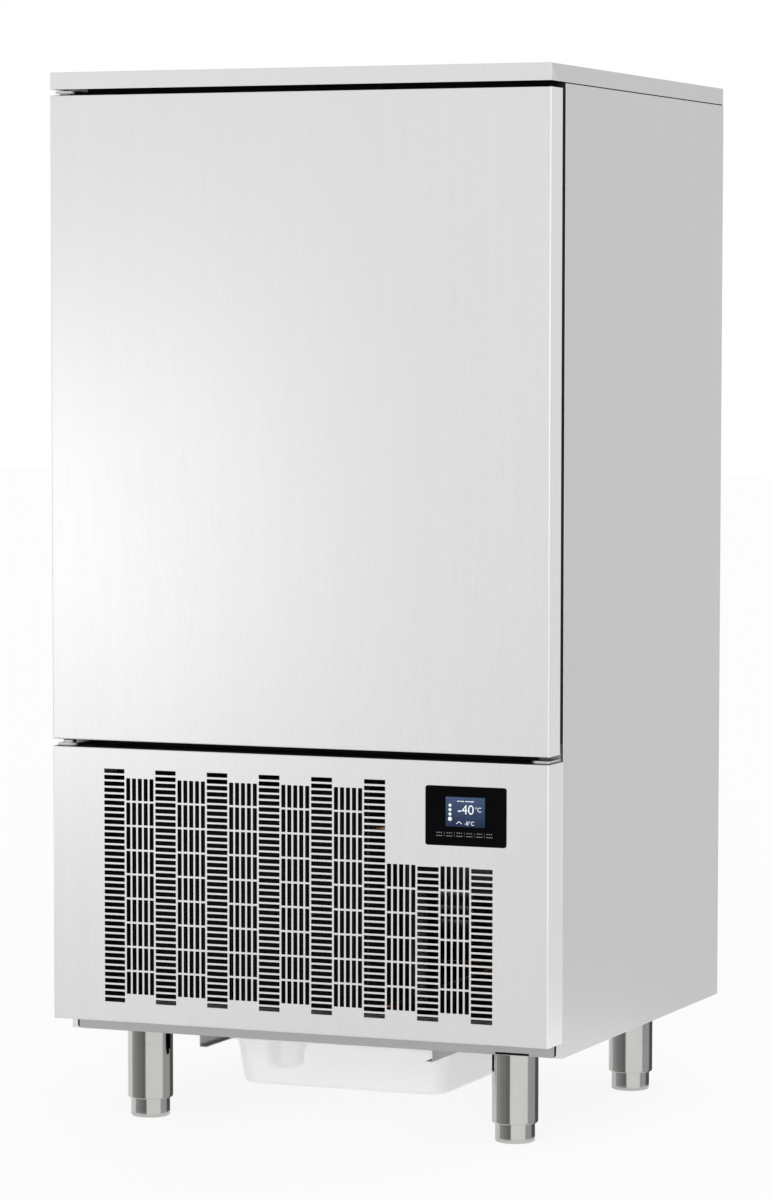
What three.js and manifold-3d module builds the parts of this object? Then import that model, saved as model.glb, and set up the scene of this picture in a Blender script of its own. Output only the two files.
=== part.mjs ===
// Blast chiller: a free-standing reach-in cabinet on four adjustable legs.
// An insulated chamber with ten tray levels and an air cooler stands over a slotted
// machine compartment. The door is hinged on its left edge and covers the whole front
// of the chamber. A drip tray hangs on two runners under the base.
//
// Millimetres, +Z up. The front faces -Y and the origin is on the floor, under the middle.

import * as THREE from 'three';
import { mergeGeometries, mergeVertices } from 'three/addons/utils/BufferGeometryUtils.js';
import Module from 'manifold-3d';

const wasm = await Module();
wasm.setup();

// ---------------------------------------------------------------- driving dimensions

// Cabinet
const WIDTH = 830; // over the two side panels
const DEPTH = 814; // face of the door to the back of the rear panel
const LEG_HEIGHT = 145; // floor to the underside of the base pan
const BODY_HEIGHT = 1503; // underside of the base pan to the top of the lid
const SHEET = 1.2; // outer sheet metal
const FIT = 0.3; // clearance between pieces that touch
const FRONT_SETBACK = 65; // face of the door to the front plane of the cabinet
const RETURN = 13; // front return of a side panel
const LID_SKIRT = 26.5;
const LID_SEAM = 1; // lid skirt to side panel

// Door
const DOOR_HEIGHT = 1001.5;
const DOOR_DEPTH = 49;
const LID_GAP = 9; // lid skirt to the top of the door
const DOOR_GAP = 11; // front panel to the bottom of the door
const DOOR_EDGE_RADIUS = 2.5;
const DOOR_LINER = 1.5; // sheet of the inner panel
const DOOR_PLATEAU = 8; // height of the inner panel's raised field
const GASKET_INSET = 20; // door edge to gasket
const GASKET_WIDTH = 20;
const PLATEAU_CLEARANCE = 3; // gasket to raised field

// Hinges
const HINGE_INSET_SIDE = 18; // pin to the left edge of the door
const HINGE_INSET_FRONT = 25; // pin to the face of the door
const HINGE_PLATE = 4;
const HINGE_ARM = 33; // width of a hinge plate
const HINGE_ARM_INSET = 3; // side of the cabinet to a hinge plate
const HINGE_NOSE = 14; // radius of the plate's free corner, and its reach past the pin
const HINGE_LEG = 26; // upright leg that is bolted to the cabinet
const HINGE_LIFT = 3; // top of the door to the upper hinge plate
const PIN_RADIUS = 6;
const PIN_DEPTH = 20; // pin inside the door
const PIN_CLEARANCE = 0.1;
const BUSH_WALL = 3;
const BUSH_FLANGE = 1.5; // thickness
const BUSH_FLANGE_RIM = 3; // overhang
const COLLAR_RIM = 4; // thrust collar's rim round the lower pin

// Front panel and its slots
const PANEL_HEIGHT = 431;
const SLOT_LENGTH = 35;
const SLOT_WIDTH = 7;
const SLOT_BRIDGE = 3; // metal between neighbouring slots
const SLOT_BOTTOM = 31.5; // bottom of the panel to the first slot
const COLUMNS = 8;
const SHORT_COLUMNS = 2; // at the right, under the controls
const TALL_ROWS = 37;
const SHORT_ROWS = 24;
const GROUP_SLOTS = 5; // upright slots side by side between two columns, cut as one window
const GROUP_RISE = 14; // first slot of a column to the first upright slot
const TALL_GROUP_ROWS = 9;
const SHORT_GROUP_ROWS = 6;

// Controls
const FASCIA_WIDTH = 131.5;
const FASCIA_HEIGHT = 91;
const FASCIA_THICKNESS = 1.2;
const FASCIA_RIGHT = 67.5; // right side of the cabinet to the fascia
const FASCIA_TOP = 37.5; // top of the front panel to the fascia
const FASCIA_CORNER = 4;
const SCREEN_WIDTH = 63.5;
const SCREEN_HEIGHT = 44.7;
const SCREEN_LEFT = 33.3; // left edge of the fascia to the screen
const SCREEN_BOTTOM = 29.7; // bottom edge of the fascia to the screen
const SCREEN_RECESS = 0.2;
const SCREEN_MODULE_RIM = 5; // module behind the fascia, past the screen
const SCREEN_MODULE_DEPTH = 8;
const HOUSING_RIM = 6; // edge of the fascia to the housing behind it
const HOUSING_DEPTH = 40;
const HOUSING_WALL = 2;

// Chamber
const WALL_SIDE = 80; // outside to the inner face of the liner
const WALL_REAR = 72;
const WALL_FLOOR = 75;
const FRAME_LAND = 55; // edge of the door to the chamber's opening, above and below
const LINER_SHEET = 1;

// Tray racks
const TRAY_WIDTH = 600;
const TRAY_DEPTH = 400;
const TRAY_FIT = 1.5; // tray to upright, each side
const TRAY_LEVELS = 10;
const TRAY_PITCH = 80;
const FIRST_LEVEL = 70; // chamber floor to the lowest ledge
const LEDGE_WIDTH = 24;
const LEDGE_SHEET = 1.5;
const RACK_FRONT = 25; // front plane of the cabinet to the rack
const RACK_SPARE = 20; // rack length past the tray
const UPRIGHT = 14; // square upright
const UPRIGHT_INSET = 30; // rack end to the middle of an upright
const UPRIGHT_TOP = 60; // uprights past the highest ledge
const HOOK_HEIGHT = 16;

// Air cooler
const COOLER_SPACE = 210; // rear wall of the liner to the fan panel
const FAN_PANEL_HALF = 290;
const FAN_PANEL_MARGIN = 40; // to the chamber's floor and ceiling
const FAN_PANEL_RETURN = 25;
const FAN_PANEL_TAB = 40; // width of a fixing tab
const FAN_SPREAD = 210; // middle of the chamber to the axis of a fan
const COOLER_FAN_RADIUS = 125;
const COIL_HALF = 250;
const COIL_DEPTH = 90;
const COIL_MARGIN = 60; // to the chamber's floor and ceiling
const COIL_REAR = 10; // coil to the liner
const COIL_PLATE = 3;
const BEND_COUNT = 6; // return bends on the coil's end plate
const BEND_RADIUS = 22;
const BEND_TUBE = 6; // radius of a return bend's tube

// Fans
const FAN_CLEARANCE = 6; // blade tip to opening
const FAN_BLADES = 5;
const HUB_RADIUS = 34;
const HUB_FRONT = 8; // hub in front of the panel
const HUB_REAR = 28; // hub behind the face of the panel
const BLADE_THICKNESS = 2;
const BLADE_CHORD = 62; // half way out
const BLADE_PITCH = 28; // degrees, half way out
const BLADE_TWIST = 7; // degrees more at the root, and less at the tip
const BLADE_TAPER = 15; // chord less at the root, and more at the tip
const BLADE_ROOT = 24; // radius inside the hub where a blade starts
const SHAFT_RADIUS = 5;
const SHAFT_DEPTH = 24; // shaft inside the hub
const SHAFT_CLEARANCE = 0.5; // radial, so that faceted shaft and bore turn clear of each other
const MOTOR_RADIUS = 42;
const MOTOR_LENGTH = 60;
const MOTOR_ARMS = 4;
const ARM_GAP = 6; // rotor to motor arm
const ARM_THICKNESS = 4;
const ARM_WIDTH = 14;
const ARM_REACH = 20; // past the opening's edge
const GUARD_DEPTH = 26;
const GUARD_WIRE = 4;
const GUARD_RIM = 6; // opening's edge to guard
const GUARD_RINGS = 2;
const GUARD_BARS = 3; // bars right across

// Machine compartment
const PAN_FLANGE = 50;
const CONDENSER_LEFT = 25; // left side panel to condenser
const CONDENSER_WIDTH = 480;
const CONDENSER_HEIGHT = 400;
const CONDENSER_DEPTH = 66;
const CONDENSER_FRONT = 12; // front plane of the cabinet to condenser
const CONDENSER_PLATE = 2;
const CONDENSER_TRAY = 3; // fins to the tops of the leg studs, and to the top of the end plates
const SHROUD_DEPTH = 55;
const CONDENSER_FAN_RADIUS = 140;
const COMPRESSOR_SIDE = 145; // right side of the cabinet to the compressor's axis
const COMPRESSOR_REAR = 215; // back of the cabinet to the compressor's axis
const COMPRESSOR_RADIUS = 90;
const COMPRESSOR_HEIGHT = 215;
const COMPRESSOR_DOME = 40; // height of its domed top
const COMPRESSOR_BOWL = 24; // height of its rounded bottom
const COMPRESSOR_BOWL_RADIUS = 72; // where the bottom meets the plate
const COMPRESSOR_FOOT = 14; // height of a rubber foot
const COMPRESSOR_FOOT_RADIUS = 11;
const COMPRESSOR_PLATE = 4;
const COMPRESSOR_PLATE_RIM = 9; // plate past the pot
const RECEIVER_X = -60;
const RECEIVER_REAR = 205;
const RECEIVER_RADIUS = 52;
const RECEIVER_HEIGHT = 230;
const RECEIVER_STAND = 20;
const RECEIVER_STAND_RADIUS = 42;
const RECEIVER_SHOULDER = 18; // height of its rounded ends
const RECEIVER_TOP_RADIUS = 21; // flat in the middle of its top
const ELECTRICAL_WIDTH = 240;
const ELECTRICAL_DEPTH = 120;
const ELECTRICAL_HEIGHT = 200;
const ELECTRICAL_INSET = 25; // right side panel and front plane to the box

// Pipes
const PIPE_RADIUS = 5;
const SUCTION_RADIUS = 8;
const PIPE_BEND = 30;
const PIPE_HOLE = 2; // hole round a pipe, more than its radius
const RISER_REAR = 135; // back of the cabinet to the two risers
const LIQUID_RISER_X = -60;
const SUCTION_RISER_X = 120;
const DISCHARGE_LANE = 40; // condenser to the pipe, in the lane beside the electrical box
const OUTLET_LANE = 22;
const DISCHARGE_HEIGHT = 335; // above the base pan
const OUTLET_HEIGHT = 55; // above the base pan
const COMPRESSOR_PORT = 150; // above the base pan
const RISER_TURN = 130; // below the deck
const DRAIN_REAR = 305; // back of the cabinet to the drain
const DRAIN_RADIUS = 14;
const DRAIN_BORE = 11;
const DRAIN_FLANGE = 24;
const DRAIN_LIP = 2;
const DRAIN_DROP = 12; // below the base pan

// Legs
const LEG_SIDE = 103.5; // side of the cabinet to the leg's axis
const LEG_FRONT = 136; // face of the door to the leg's axis
const LEG_REAR = 141; // back of the cabinet to the leg's axis
const LEG_RADIUS = 36;
const LEG_WALL = 3;
const LEG_CHAMFER = 3;
const LEG_TUBE = 114.5; // length of the fixed tube
const LEG_BOSS = 75; // length of the threaded boss inside it
const LEG_STUD = 6;
const LEG_STUD_LENGTH = 7;
const FOOT_RADIUS = 31;
const FOOT_CHAMFER = 3;
const FOOT_ENTRY = 15; // foot inside the tube
const SPINDLE_RADIUS = 8;
const SPINDLE_CLEARANCE = 0.1;
const SPINDLE_SPARE = 8; // spindle's end to the bottom of its bore

// Drip tray
const RUNNER_HALF = 198; // middle to the outer face of a runner
const RUNNER_HEIGHT = 20;
const RUNNER_FLANGE = 11.5;
const RUNNER_SHEET = 1.5;
const RUNNER_FRONT = 77; // face of the door to the runner
const RUNNER_LENGTH = 520;
const TRAY_FRONT = 166; // face of the door to the tray's body
const TRAY_LENGTH = 400;
const TRAY_DROP = 91; // base pan to the bottom of the tray
const TRAY_DRAFT = 10; // inward lean of a wall
const TRAY_WALL = 2.5;
const TRAY_CORNER = 32;
const TRAY_PLAY = 2.5; // tray to runner flange, each side
const TRAY_RIM = 8.5; // rim past the body
const TRAY_RIM_THICKNESS = 2.5;
const TRAY_FILLET = 8; // bottom edge

// Rear vents, cable gland and probe gland
const VENT_LENGTH = 90;
const VENT_WIDTH = 7;
const VENT_PITCH = 24;
const VENT_ROWS = 9;
const VENT_COLUMNS = 2;
const VENT_COLUMN_PITCH = 150;
const VENT_RISE = 90; // base to the lowest vent
const CABLE_GLAND_SIDE = 85; // right side of the cabinet to the gland
const CABLE_GLAND_REAR = 70;
const CABLE_GLAND_RADIUS = 14;
const CABLE_GLAND_STEM = 12; // radius where it passes through the pan
const CABLE_GLAND_BORE = 7;
const CABLE_GLAND_NUT = 12; // height on each side of the pan
const PROBE_GLAND_FRONT = 142; // front plane of the cabinet to the gland
const PROBE_GLAND_DROP = 150; // chamber ceiling to the gland
const PROBE_GLAND_RADIUS = 14;
const PROBE_GLAND_STEM = 8;
const PROBE_GLAND_BORE = 4;
const PROBE_GLAND_FLANGE = 4;
const PROBE_GLAND_DEPTH = 30;

const ROUND_SIDES = 20; // facets of a turned piece that shows
const HIDDEN_SIDES = 14; // facets of a turned piece inside the cabinet
const OPENING_SIDES = 28; // facets of a fan's opening
const PIPE_SIDES = 6;
const PIPE_STEP = 5; // rings along a pipe, in radii
const BEND_SHARE = 0.45; // of the shorter straight, the most that a bend takes
const BOWL_STEPS = 4;
const DOME_STEPS = 5;
const CURVE_KNEE = 0.3; // share of a quarter round's height and width at its middle point
const WELD = 1; // depth to which joined solids run into each other

// ---------------------------------------------------------------- planes of the cabinet

const half = WIDTH / 2;
const yFace = -(DEPTH - FASCIA_THICKNESS - FIT) / 2; // face of the door and the front panel
const yRear = yFace + DEPTH;
const yCabinet = yFace + FRONT_SETBACK;
const yDoorBack = yFace + DOOR_DEPTH;
const zBody = LEG_HEIGHT;
const zTop = zBody + BODY_HEIGHT;
const zLid = zTop - LID_SKIRT;
const zSideTop = zLid - LID_SEAM;
const zDoorTop = zLid - LID_GAP;
const zDoorBottom = zDoorTop - DOOR_HEIGHT;
const zPanelTop = zDoorBottom - DOOR_GAP;
const zPanelBottom = zPanelTop - PANEL_HEIGHT;
const zPan = zBody + SHEET; // floor of the machine compartment
const inside = SHEET + FIT; // outer face to whatever lies behind a sheet

const chamberHalf = half - WALL_SIDE;
const yChamberRear = yRear - WALL_REAR;
const zFloor = zDoorBottom + FRAME_LAND;
const zCeiling = zDoorTop - FRAME_LAND;
const zDeck = zFloor - WALL_FLOOR;
const zDeckUnder = zDeck - FIT - SHEET;
const yFanPanel = yChamberRear - COOLER_SPACE;
const yCoilRear = yChamberRear - COIL_REAR;
const yRiser = yRear - RISER_REAR;
const yDrain = yRear - DRAIN_REAR;

const xHinge = -half + HINGE_INSET_SIDE;
const yHinge = yFace + HINGE_INSET_FRONT;

// ---------------------------------------------------------------- shape helpers

const about = (centre, size) => [centre - size / 2, centre + size / 2];
const inset = ([low, high], by) => [low + by, high - by];
const mirrored = ([low, high]) => [-high, -low];
const centred = (halfSize) => [-halfSize, halfSize];

/** A box between three pairs of planes. */
function block(x, y, z) {
  const box = new THREE.BoxGeometry(x[1] - x[0], y[1] - y[0], z[1] - z[0]);
  return box.translate((x[0] + x[1]) / 2, (y[0] + y[1]) / 2, (z[0] + z[1]) / 2);
}

/** Turns a shape made along +Y so that it lies along the named axis, through (u, v). */
function along(axis, [u, v], geometry) {
  if (axis === 'z') {
    return geometry.rotateX(Math.PI / 2).translate(u, v, 0);
  }
  if (axis === 'x') {
    return geometry.rotateZ(-Math.PI / 2).translate(0, u, v);
  }
  return geometry.translate(u, 0, v);
}

/** A round bar along an axis, between two planes. */
function rod(axis, centre, radius, [low, high], sides = ROUND_SIDES) {
  const bar = new THREE.CylinderGeometry(radius, radius, high - low, sides);
  return along(axis, centre, bar.translate(0, (low + high) / 2, 0));
}

/** A turned piece: [radius, height] pairs from the axis and back to it, or round a ring. */
function turned(axis, centre, profile, sides = ROUND_SIDES) {
  const points = profile.map(([radius, height]) => new THREE.Vector2(radius, height));
  return along(axis, centre, new THREE.LatheGeometry(points, sides));
}

/** A rectangle with round corners, as a flat shape. */
function roundedRectangle([left, right], [bottom, top], radius) {
  const shape = new THREE.Shape();
  const quarter = Math.PI / 2;
  shape.absarc(right - radius, bottom + radius, radius, -quarter, 0, false);
  shape.absarc(right - radius, top - radius, radius, 0, quarter, false);
  shape.absarc(left + radius, top - radius, radius, quarter, 2 * quarter, false);
  shape.absarc(left + radius, bottom + radius, radius, 2 * quarter, 3 * quarter, false);
  return shape;
}

/** A shape drawn in plan (x, y), raised between two levels. */
function raised(shape, [low, high], curveSegments = 4) {
  const options = { depth: high - low, bevelEnabled: false, curveSegments };
  return new THREE.ExtrudeGeometry(shape, options).translate(0, 0, low);
}

/** A shape drawn on the front (x, z), given thickness between two depths. */
function fronted(shape, [near, far], curveSegments = 4) {
  const options = { depth: far - near, bevelEnabled: false, curveSegments };
  const plate = new THREE.ExtrudeGeometry(shape, options);
  return plate.rotateX(Math.PI / 2).translate(0, far, 0);
}

/** Joins loops of points with the same count into a closed skin with flat, convex ends. */
function lofted(loops) {
  const count = loops[0].length;
  const positions = loops.flat(2);
  const index = [];
  for (let ring = 0; ring + 1 < loops.length; ring += 1) {
    for (let step = 0; step < count; step += 1) {
      const next = (step + 1) % count;
      const a = ring * count + step;
      const b = ring * count + next;
      index.push(a, b, b + count, a, b + count, a + count);
    }
  }
  const last = (loops.length - 1) * count;
  for (let step = 1; step + 1 < count; step += 1) {
    index.push(0, step + 1, step, last, last + step, last + step + 1);
  }
  const geometry = new THREE.BufferGeometry();
  geometry.setAttribute('position', new THREE.Float32BufferAttribute(positions, 3));
  geometry.setIndex(index);
  return geometry;
}

/** A pipe with round bends through a list of corner points. */
function pipe(corners, radius, bend = PIPE_BEND) {
  const points = corners.map((corner) => new THREE.Vector3(...corner));
  const path = new THREE.CurvePath();
  let start = points[0];
  for (let i = 1; i + 1 < points.length; i += 1) {
    const before = points[i - 1].clone().sub(points[i]);
    const after = points[i + 1].clone().sub(points[i]);
    const reach = Math.min(bend, before.length() * BEND_SHARE, after.length() * BEND_SHARE);
    const entry = points[i].clone().add(before.setLength(reach));
    const exit = points[i].clone().add(after.setLength(reach));
    path.add(new THREE.LineCurve3(start, entry));
    path.add(new THREE.QuadraticBezierCurve3(entry, points[i], exit));
    start = exit;
  }
  path.add(new THREE.LineCurve3(start, points[points.length - 1]));
  const section = new THREE.Shape();
  section.absarc(0, 0, radius, 0, Math.PI * 2, false);
  const steps = Math.ceil(path.getLength() / (radius * PIPE_STEP));
  const curveSegments = PIPE_SIDES / 2; // of a half circle
  const options = { steps, extrudePath: path, bevelEnabled: false, curveSegments };
  return new THREE.ExtrudeGeometry(section, options);
}

// ---------------------------------------------------------------- cutting and joining

/** The geometry's signed volume, negative where its faces point inwards. */
function signedVolume(positions, index) {
  const corner = (i) => new THREE.Vector3().fromArray(positions, index[i] * 3);
  let sum = 0;
  for (let i = 0; i < index.length; i += 3) {
    sum += corner(i).dot(corner(i + 1).cross(corner(i + 2)));
  }
  return sum;
}

/** Drops the triangles that merging has drawn together into a line. */
function withoutSlivers(index) {
  const kept = [];
  for (let i = 0; i < index.length; i += 3) {
    const [a, b, c] = index.slice(i, i + 3);
    if (a !== b && b !== c && c !== a) {
      kept.push(a, b, c);
    }
  }
  return new Uint32Array(kept);
}

function toSolid(geometry) {
  const bare = geometry.clone();
  bare.deleteAttribute('normal');
  bare.deleteAttribute('uv');
  const merged = mergeVertices(bare, 1e-3);
  const vertProperties = new Float32Array(merged.attributes.position.array);
  const triVerts = withoutSlivers(merged.index.array);
  if (signedVolume(vertProperties, triVerts) < 0) {
    triVerts.reverse();
  }
  return new wasm.Manifold(new wasm.Mesh({ numProp: 3, vertProperties, triVerts }));
}

function toGeometry(solid) {
  const mesh = solid.getMesh();
  const geometry = new THREE.BufferGeometry();
  geometry.setAttribute('position', new THREE.BufferAttribute(mesh.vertProperties, 3));
  geometry.setIndex(new THREE.BufferAttribute(mesh.triVerts, 1));
  return geometry;
}

function join(...geometries) {
  return toGeometry(geometries.map(toSolid).reduce((whole, next) => whole.add(next)));
}

function cut(base, ...tools) {
  return toGeometry(tools.map(toSolid).reduce((rest, tool) => rest.subtract(tool), toSolid(base)));
}

/** A folded sheet-metal pan: a box with one open side ('-y', '+y', '-z' or '+z'). */
function pan(x, y, z, sheet, open) {
  const hollow = { x: inset(x, sheet), y: inset(y, sheet), z: inset(z, sheet) };
  const side = open[0] === '-' ? 0 : 1;
  const span = hollow[open[1]];
  span[side] += (side ? 2 : -2) * sheet;
  return cut(block(x, y, z), block(hollow.x, hollow.y, hollow.z));
}

// ---------------------------------------------------------------- materials

function finish(color, roughness, metalness) {
  return new THREE.MeshStandardMaterial({ color, roughness, metalness });
}

const stainless = finish(0xd6d7d8, 0.38, 0.9);
const stainlessLight = finish(0xe2e3e3, 0.34, 0.9);
const satinSteel = finish(0xa9aaa6, 0.3, 1);
const galvanised = finish(0xa7abab, 0.5, 0.85);
const foam = finish(0xe6d9a8, 0.9, 0);
const blackRubber = finish(0x17181a, 0.75, 0);
const blackGlass = finish(0x08090b, 0.08, 0);
const blueScreen = finish(0x3a4f7c, 0.25, 0);
const blackPlastic = finish(0x1d1e20, 0.5, 0);
const greyPlastic = finish(0x8c8e90, 0.5, 0);
const whitePlastic = finish(0xf1f2f2, 0.45, 0);
const copper = finish(0xb87346, 0.35, 1);
const finStock = finish(0xc2c6c8, 0.45, 0.9);
const blackPaint = finish(0x202225, 0.45, 0.3);

const chiller = new THREE.Group();

function add(name, geometry, material) {
  const mesh = new THREE.Mesh(geometry, material);
  mesh.name = name;
  chiller.add(mesh);
}

// ---------------------------------------------------------------- cabinet shell

const innerX = centred(half - inside);
const innerY = [yCabinet + inside, yRear - inside];
const betweenReturns = centred(half - RETURN - FIT);

add('top_cover', pan(centred(half), [yFace, yRear], [zLid, zTop], SHEET, '-z'), stainless);

for (const side of ['left', 'right']) {
  const skin = [half - SHEET, half];
  const fold = [half - RETURN, half];
  const turn = side === 'left' ? mirrored : (span) => span;
  const z = [zBody, zSideTop];
  const sheet = block(turn(skin), [yCabinet, yRear], z);
  const front = block(turn(fold), [yCabinet, yCabinet + SHEET], z);
  add(`${side}_side_panel`, join(sheet, front), stainless);
}

function rearPanel() {
  const vents = [];
  for (let column = 0; column < VENT_COLUMNS; column += 1) {
    const x = about((column - (VENT_COLUMNS - 1) / 2) * VENT_COLUMN_PITCH, VENT_LENGTH);
    for (let row = 0; row < VENT_ROWS; row += 1) {
      const low = zBody + VENT_RISE + row * VENT_PITCH;
      vents.push(block(x, about(yRear, 4 * SHEET), [low, low + VENT_WIDTH]));
    }
  }
  return cut(block(innerX, [yRear - SHEET, yRear], [zBody, zSideTop]), ...vents);
}
add('rear_panel', rearPanel(), stainless);

// Holes for what passes through the floor of the chamber.
function floorHoles(z) {
  return [
    rod('z', [LIQUID_RISER_X, yRiser], PIPE_RADIUS + PIPE_HOLE, z, HIDDEN_SIDES),
    rod('z', [SUCTION_RISER_X, yRiser], SUCTION_RADIUS + PIPE_HOLE, z, HIDDEN_SIDES),
    rod('z', [0, yDrain], DRAIN_RADIUS + PIPE_HOLE, z, HIDDEN_SIDES),
  ];
}

const linerX = centred(chamberHalf + LINER_SHEET);
const linerY = [yCabinet + inside, yChamberRear + LINER_SHEET];
const linerZ = [zFloor - LINER_SHEET, zCeiling + LINER_SHEET];
const probeAxis = [yCabinet + PROBE_GLAND_FRONT, zCeiling - PROBE_GLAND_DROP];

function chamberLiner() {
  const box = pan(linerX, linerY, linerZ, LINER_SHEET, '-y');
  const wall = [chamberHalf - LINER_SHEET, chamberHalf + 2 * LINER_SHEET];
  const probe = rod('x', probeAxis, PROBE_GLAND_STEM + FIT, wall);
  return cut(box, probe, ...floorHoles([zFloor - 2 * LINER_SHEET, zFloor + LINER_SHEET]));
}
add('chamber_liner', chamberLiner(), stainlessLight);

function cabinetInsulation() {
  const body = block(innerX, innerY, [zDeck, zTop - inside]);
  const pocketY = [innerY[0] - inside, linerY[1] + FIT];
  const pocket = block(inset(linerX, -FIT), pocketY, inset(linerZ, -FIT));
  const gland = [chamberHalf, chamberHalf + PROBE_GLAND_DEPTH + FIT];
  const probe = rod('x', probeAxis, PROBE_GLAND_STEM + FIT, gland);
  return cut(body, pocket, probe, ...floorHoles([zDeck - 1, zFloor]));
}
add('cabinet_insulation', cabinetInsulation(), foam);

function doorFrame() {
  const ring = block(betweenReturns, [yCabinet, yCabinet + SHEET], [zDeckUnder, zTop - inside]);
  const opening = block(centred(chamberHalf), about(yCabinet, 4 * SHEET), [zFloor, zCeiling]);
  return cut(ring, opening);
}
add('door_frame', doorFrame(), stainless);

const deckZ = [zDeckUnder, zDeckUnder + SHEET];
const deckHoles = floorHoles([zDeckUnder - 1, zDeck]);
add('machine_deck', cut(block(innerX, innerY, deckZ), ...deckHoles), galvanised);

// ---------------------------------------------------------------- legs and base

const xLeg = half - LEG_SIDE;
const legPlaces = {
  front_left: [-xLeg, yFace + LEG_FRONT],
  front_right: [xLeg, yFace + LEG_FRONT],
  rear_left: [-xLeg, yRear - LEG_REAR],
  rear_right: [xLeg, yRear - LEG_REAR],
};

const glandPlace = [half - CABLE_GLAND_SIDE, yRear - CABLE_GLAND_REAR];

function basePan() {
  const tray = pan(innerX, innerY, [zBody, zBody + PAN_FLANGE], SHEET, '+z');
  const face = block(betweenReturns, [yCabinet, innerY[0] + SHEET], [zBody, zBody + PAN_FLANGE]);
  const through = [zBody - SHEET, zPan + SHEET];
  const studs = Object.values(legPlaces).map((at) => (
    rod('z', at, LEG_STUD + FIT, through, HIDDEN_SIDES)
  ));
  const drain = rod('z', [0, yDrain], DRAIN_RADIUS + FIT, through, HIDDEN_SIDES);
  const gland = rod('z', glandPlace, CABLE_GLAND_STEM + FIT, through, HIDDEN_SIDES);
  return cut(join(tray, face), drain, gland, ...studs);
}
add('base_pan', basePan(), stainless);

// The fixed tube of a leg, with a threaded boss inside and a stud through the base pan.
function legTube(at) {
  const top = zBody - FIT;
  const bottom = top - LEG_TUBE;
  const bore = SPINDLE_RADIUS + SPINDLE_CLEARANCE;
  const boss = top - LEG_BOSS;
  return turned('z', at, [
    [0, top - LEG_WALL * 2],
    [bore, top - LEG_WALL * 2],
    [bore, boss],
    [LEG_RADIUS - LEG_WALL, boss],
    [LEG_RADIUS - LEG_WALL, bottom],
    [LEG_RADIUS - LEG_CHAMFER / 2, bottom],
    [LEG_RADIUS, bottom + LEG_CHAMFER],
    [LEG_RADIUS, top],
    [LEG_STUD, top],
    [LEG_STUD, top + LEG_STUD_LENGTH],
    [0, top + LEG_STUD_LENGTH],
  ]);
}

// The foot that screws in and out of the tube to level the cabinet.
function legFoot(at) {
  const shoulder = zBody - FIT - LEG_TUBE + FOOT_ENTRY;
  return turned('z', at, [
    [0, 0],
    [FOOT_RADIUS - FOOT_CHAMFER, 0],
    [FOOT_RADIUS, FOOT_CHAMFER],
    [FOOT_RADIUS, shoulder],
    [SPINDLE_RADIUS, shoulder],
    [SPINDLE_RADIUS, zBody - FIT - LEG_WALL * 2 - SPINDLE_SPARE],
    [0, zBody - FIT - LEG_WALL * 2 - SPINDLE_SPARE],
  ]);
}

for (const [corner, at] of Object.entries(legPlaces)) {
  add(`${corner}_leg`, legTube(at), satinSteel);
  add(`${corner}_foot`, legFoot(at), satinSteel);
}

function cableGland() {
  const low = zBody - FIT - CABLE_GLAND_NUT;
  const high = zPan + FIT + CABLE_GLAND_NUT;
  return turned('z', glandPlace, [
    [CABLE_GLAND_BORE, low],
    [CABLE_GLAND_RADIUS, low],
    [CABLE_GLAND_RADIUS, zBody - FIT],
    [CABLE_GLAND_STEM, zBody - FIT],
    [CABLE_GLAND_STEM, zPan + FIT],
    [CABLE_GLAND_RADIUS, zPan + FIT],
    [CABLE_GLAND_RADIUS, high],
    [CABLE_GLAND_BORE, high],
    [CABLE_GLAND_BORE, low],
  ], HIDDEN_SIDES);
}
add('cable_gland', cableGland(), blackPlastic);

// ---------------------------------------------------------------- drip tray

const runnerY = [yFace + RUNNER_FRONT, yFace + RUNNER_FRONT + RUNNER_LENGTH];
const zRunner = zBody - FIT - RUNNER_HEIGHT;

for (const side of ['left', 'right']) {
  const turn = side === 'left' ? mirrored : (span) => span;
  const web = [RUNNER_HALF - RUNNER_SHEET, RUNNER_HALF];
  const lower = [RUNNER_HALF - RUNNER_FLANGE, RUNNER_HALF];
  const upper = [RUNNER_HALF - RUNNER_SHEET, RUNNER_HALF - RUNNER_SHEET + RUNNER_FLANGE];
  const angle = join(
    block(turn(web), runnerY, [zRunner, zBody - FIT]),
    block(turn(lower), runnerY, [zRunner, zRunner + RUNNER_SHEET]),
    block(turn(upper), runnerY, [zBody - FIT - RUNNER_SHEET, zBody - FIT]),
  );
  add(`${side}_tray_runner`, angle, stainless);
}

const trayHalf = RUNNER_HALF - RUNNER_FLANGE - TRAY_PLAY; // body under the rim
const trayBodyY = [yFace + TRAY_FRONT, yFace + TRAY_FRONT + TRAY_LENGTH];
const zTrayRim = zRunner + RUNNER_SHEET + FIT;
const zTrayTop = zTrayRim + TRAY_RIM_THICKNESS;
const zTrayBottom = zBody - TRAY_DROP;

/** A level loop round the tray, drawn in from the body's top outline by a distance. */
function trayLoop(z, by) {
  const corner = Math.max(TRAY_CORNER - by / 2, TRAY_WALL);
  const outline = roundedRectangle(centred(trayHalf - by), inset(trayBodyY, by), corner);
  return outline.getPoints(2).map(({ x, y }) => [x, y, z]);
}

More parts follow.
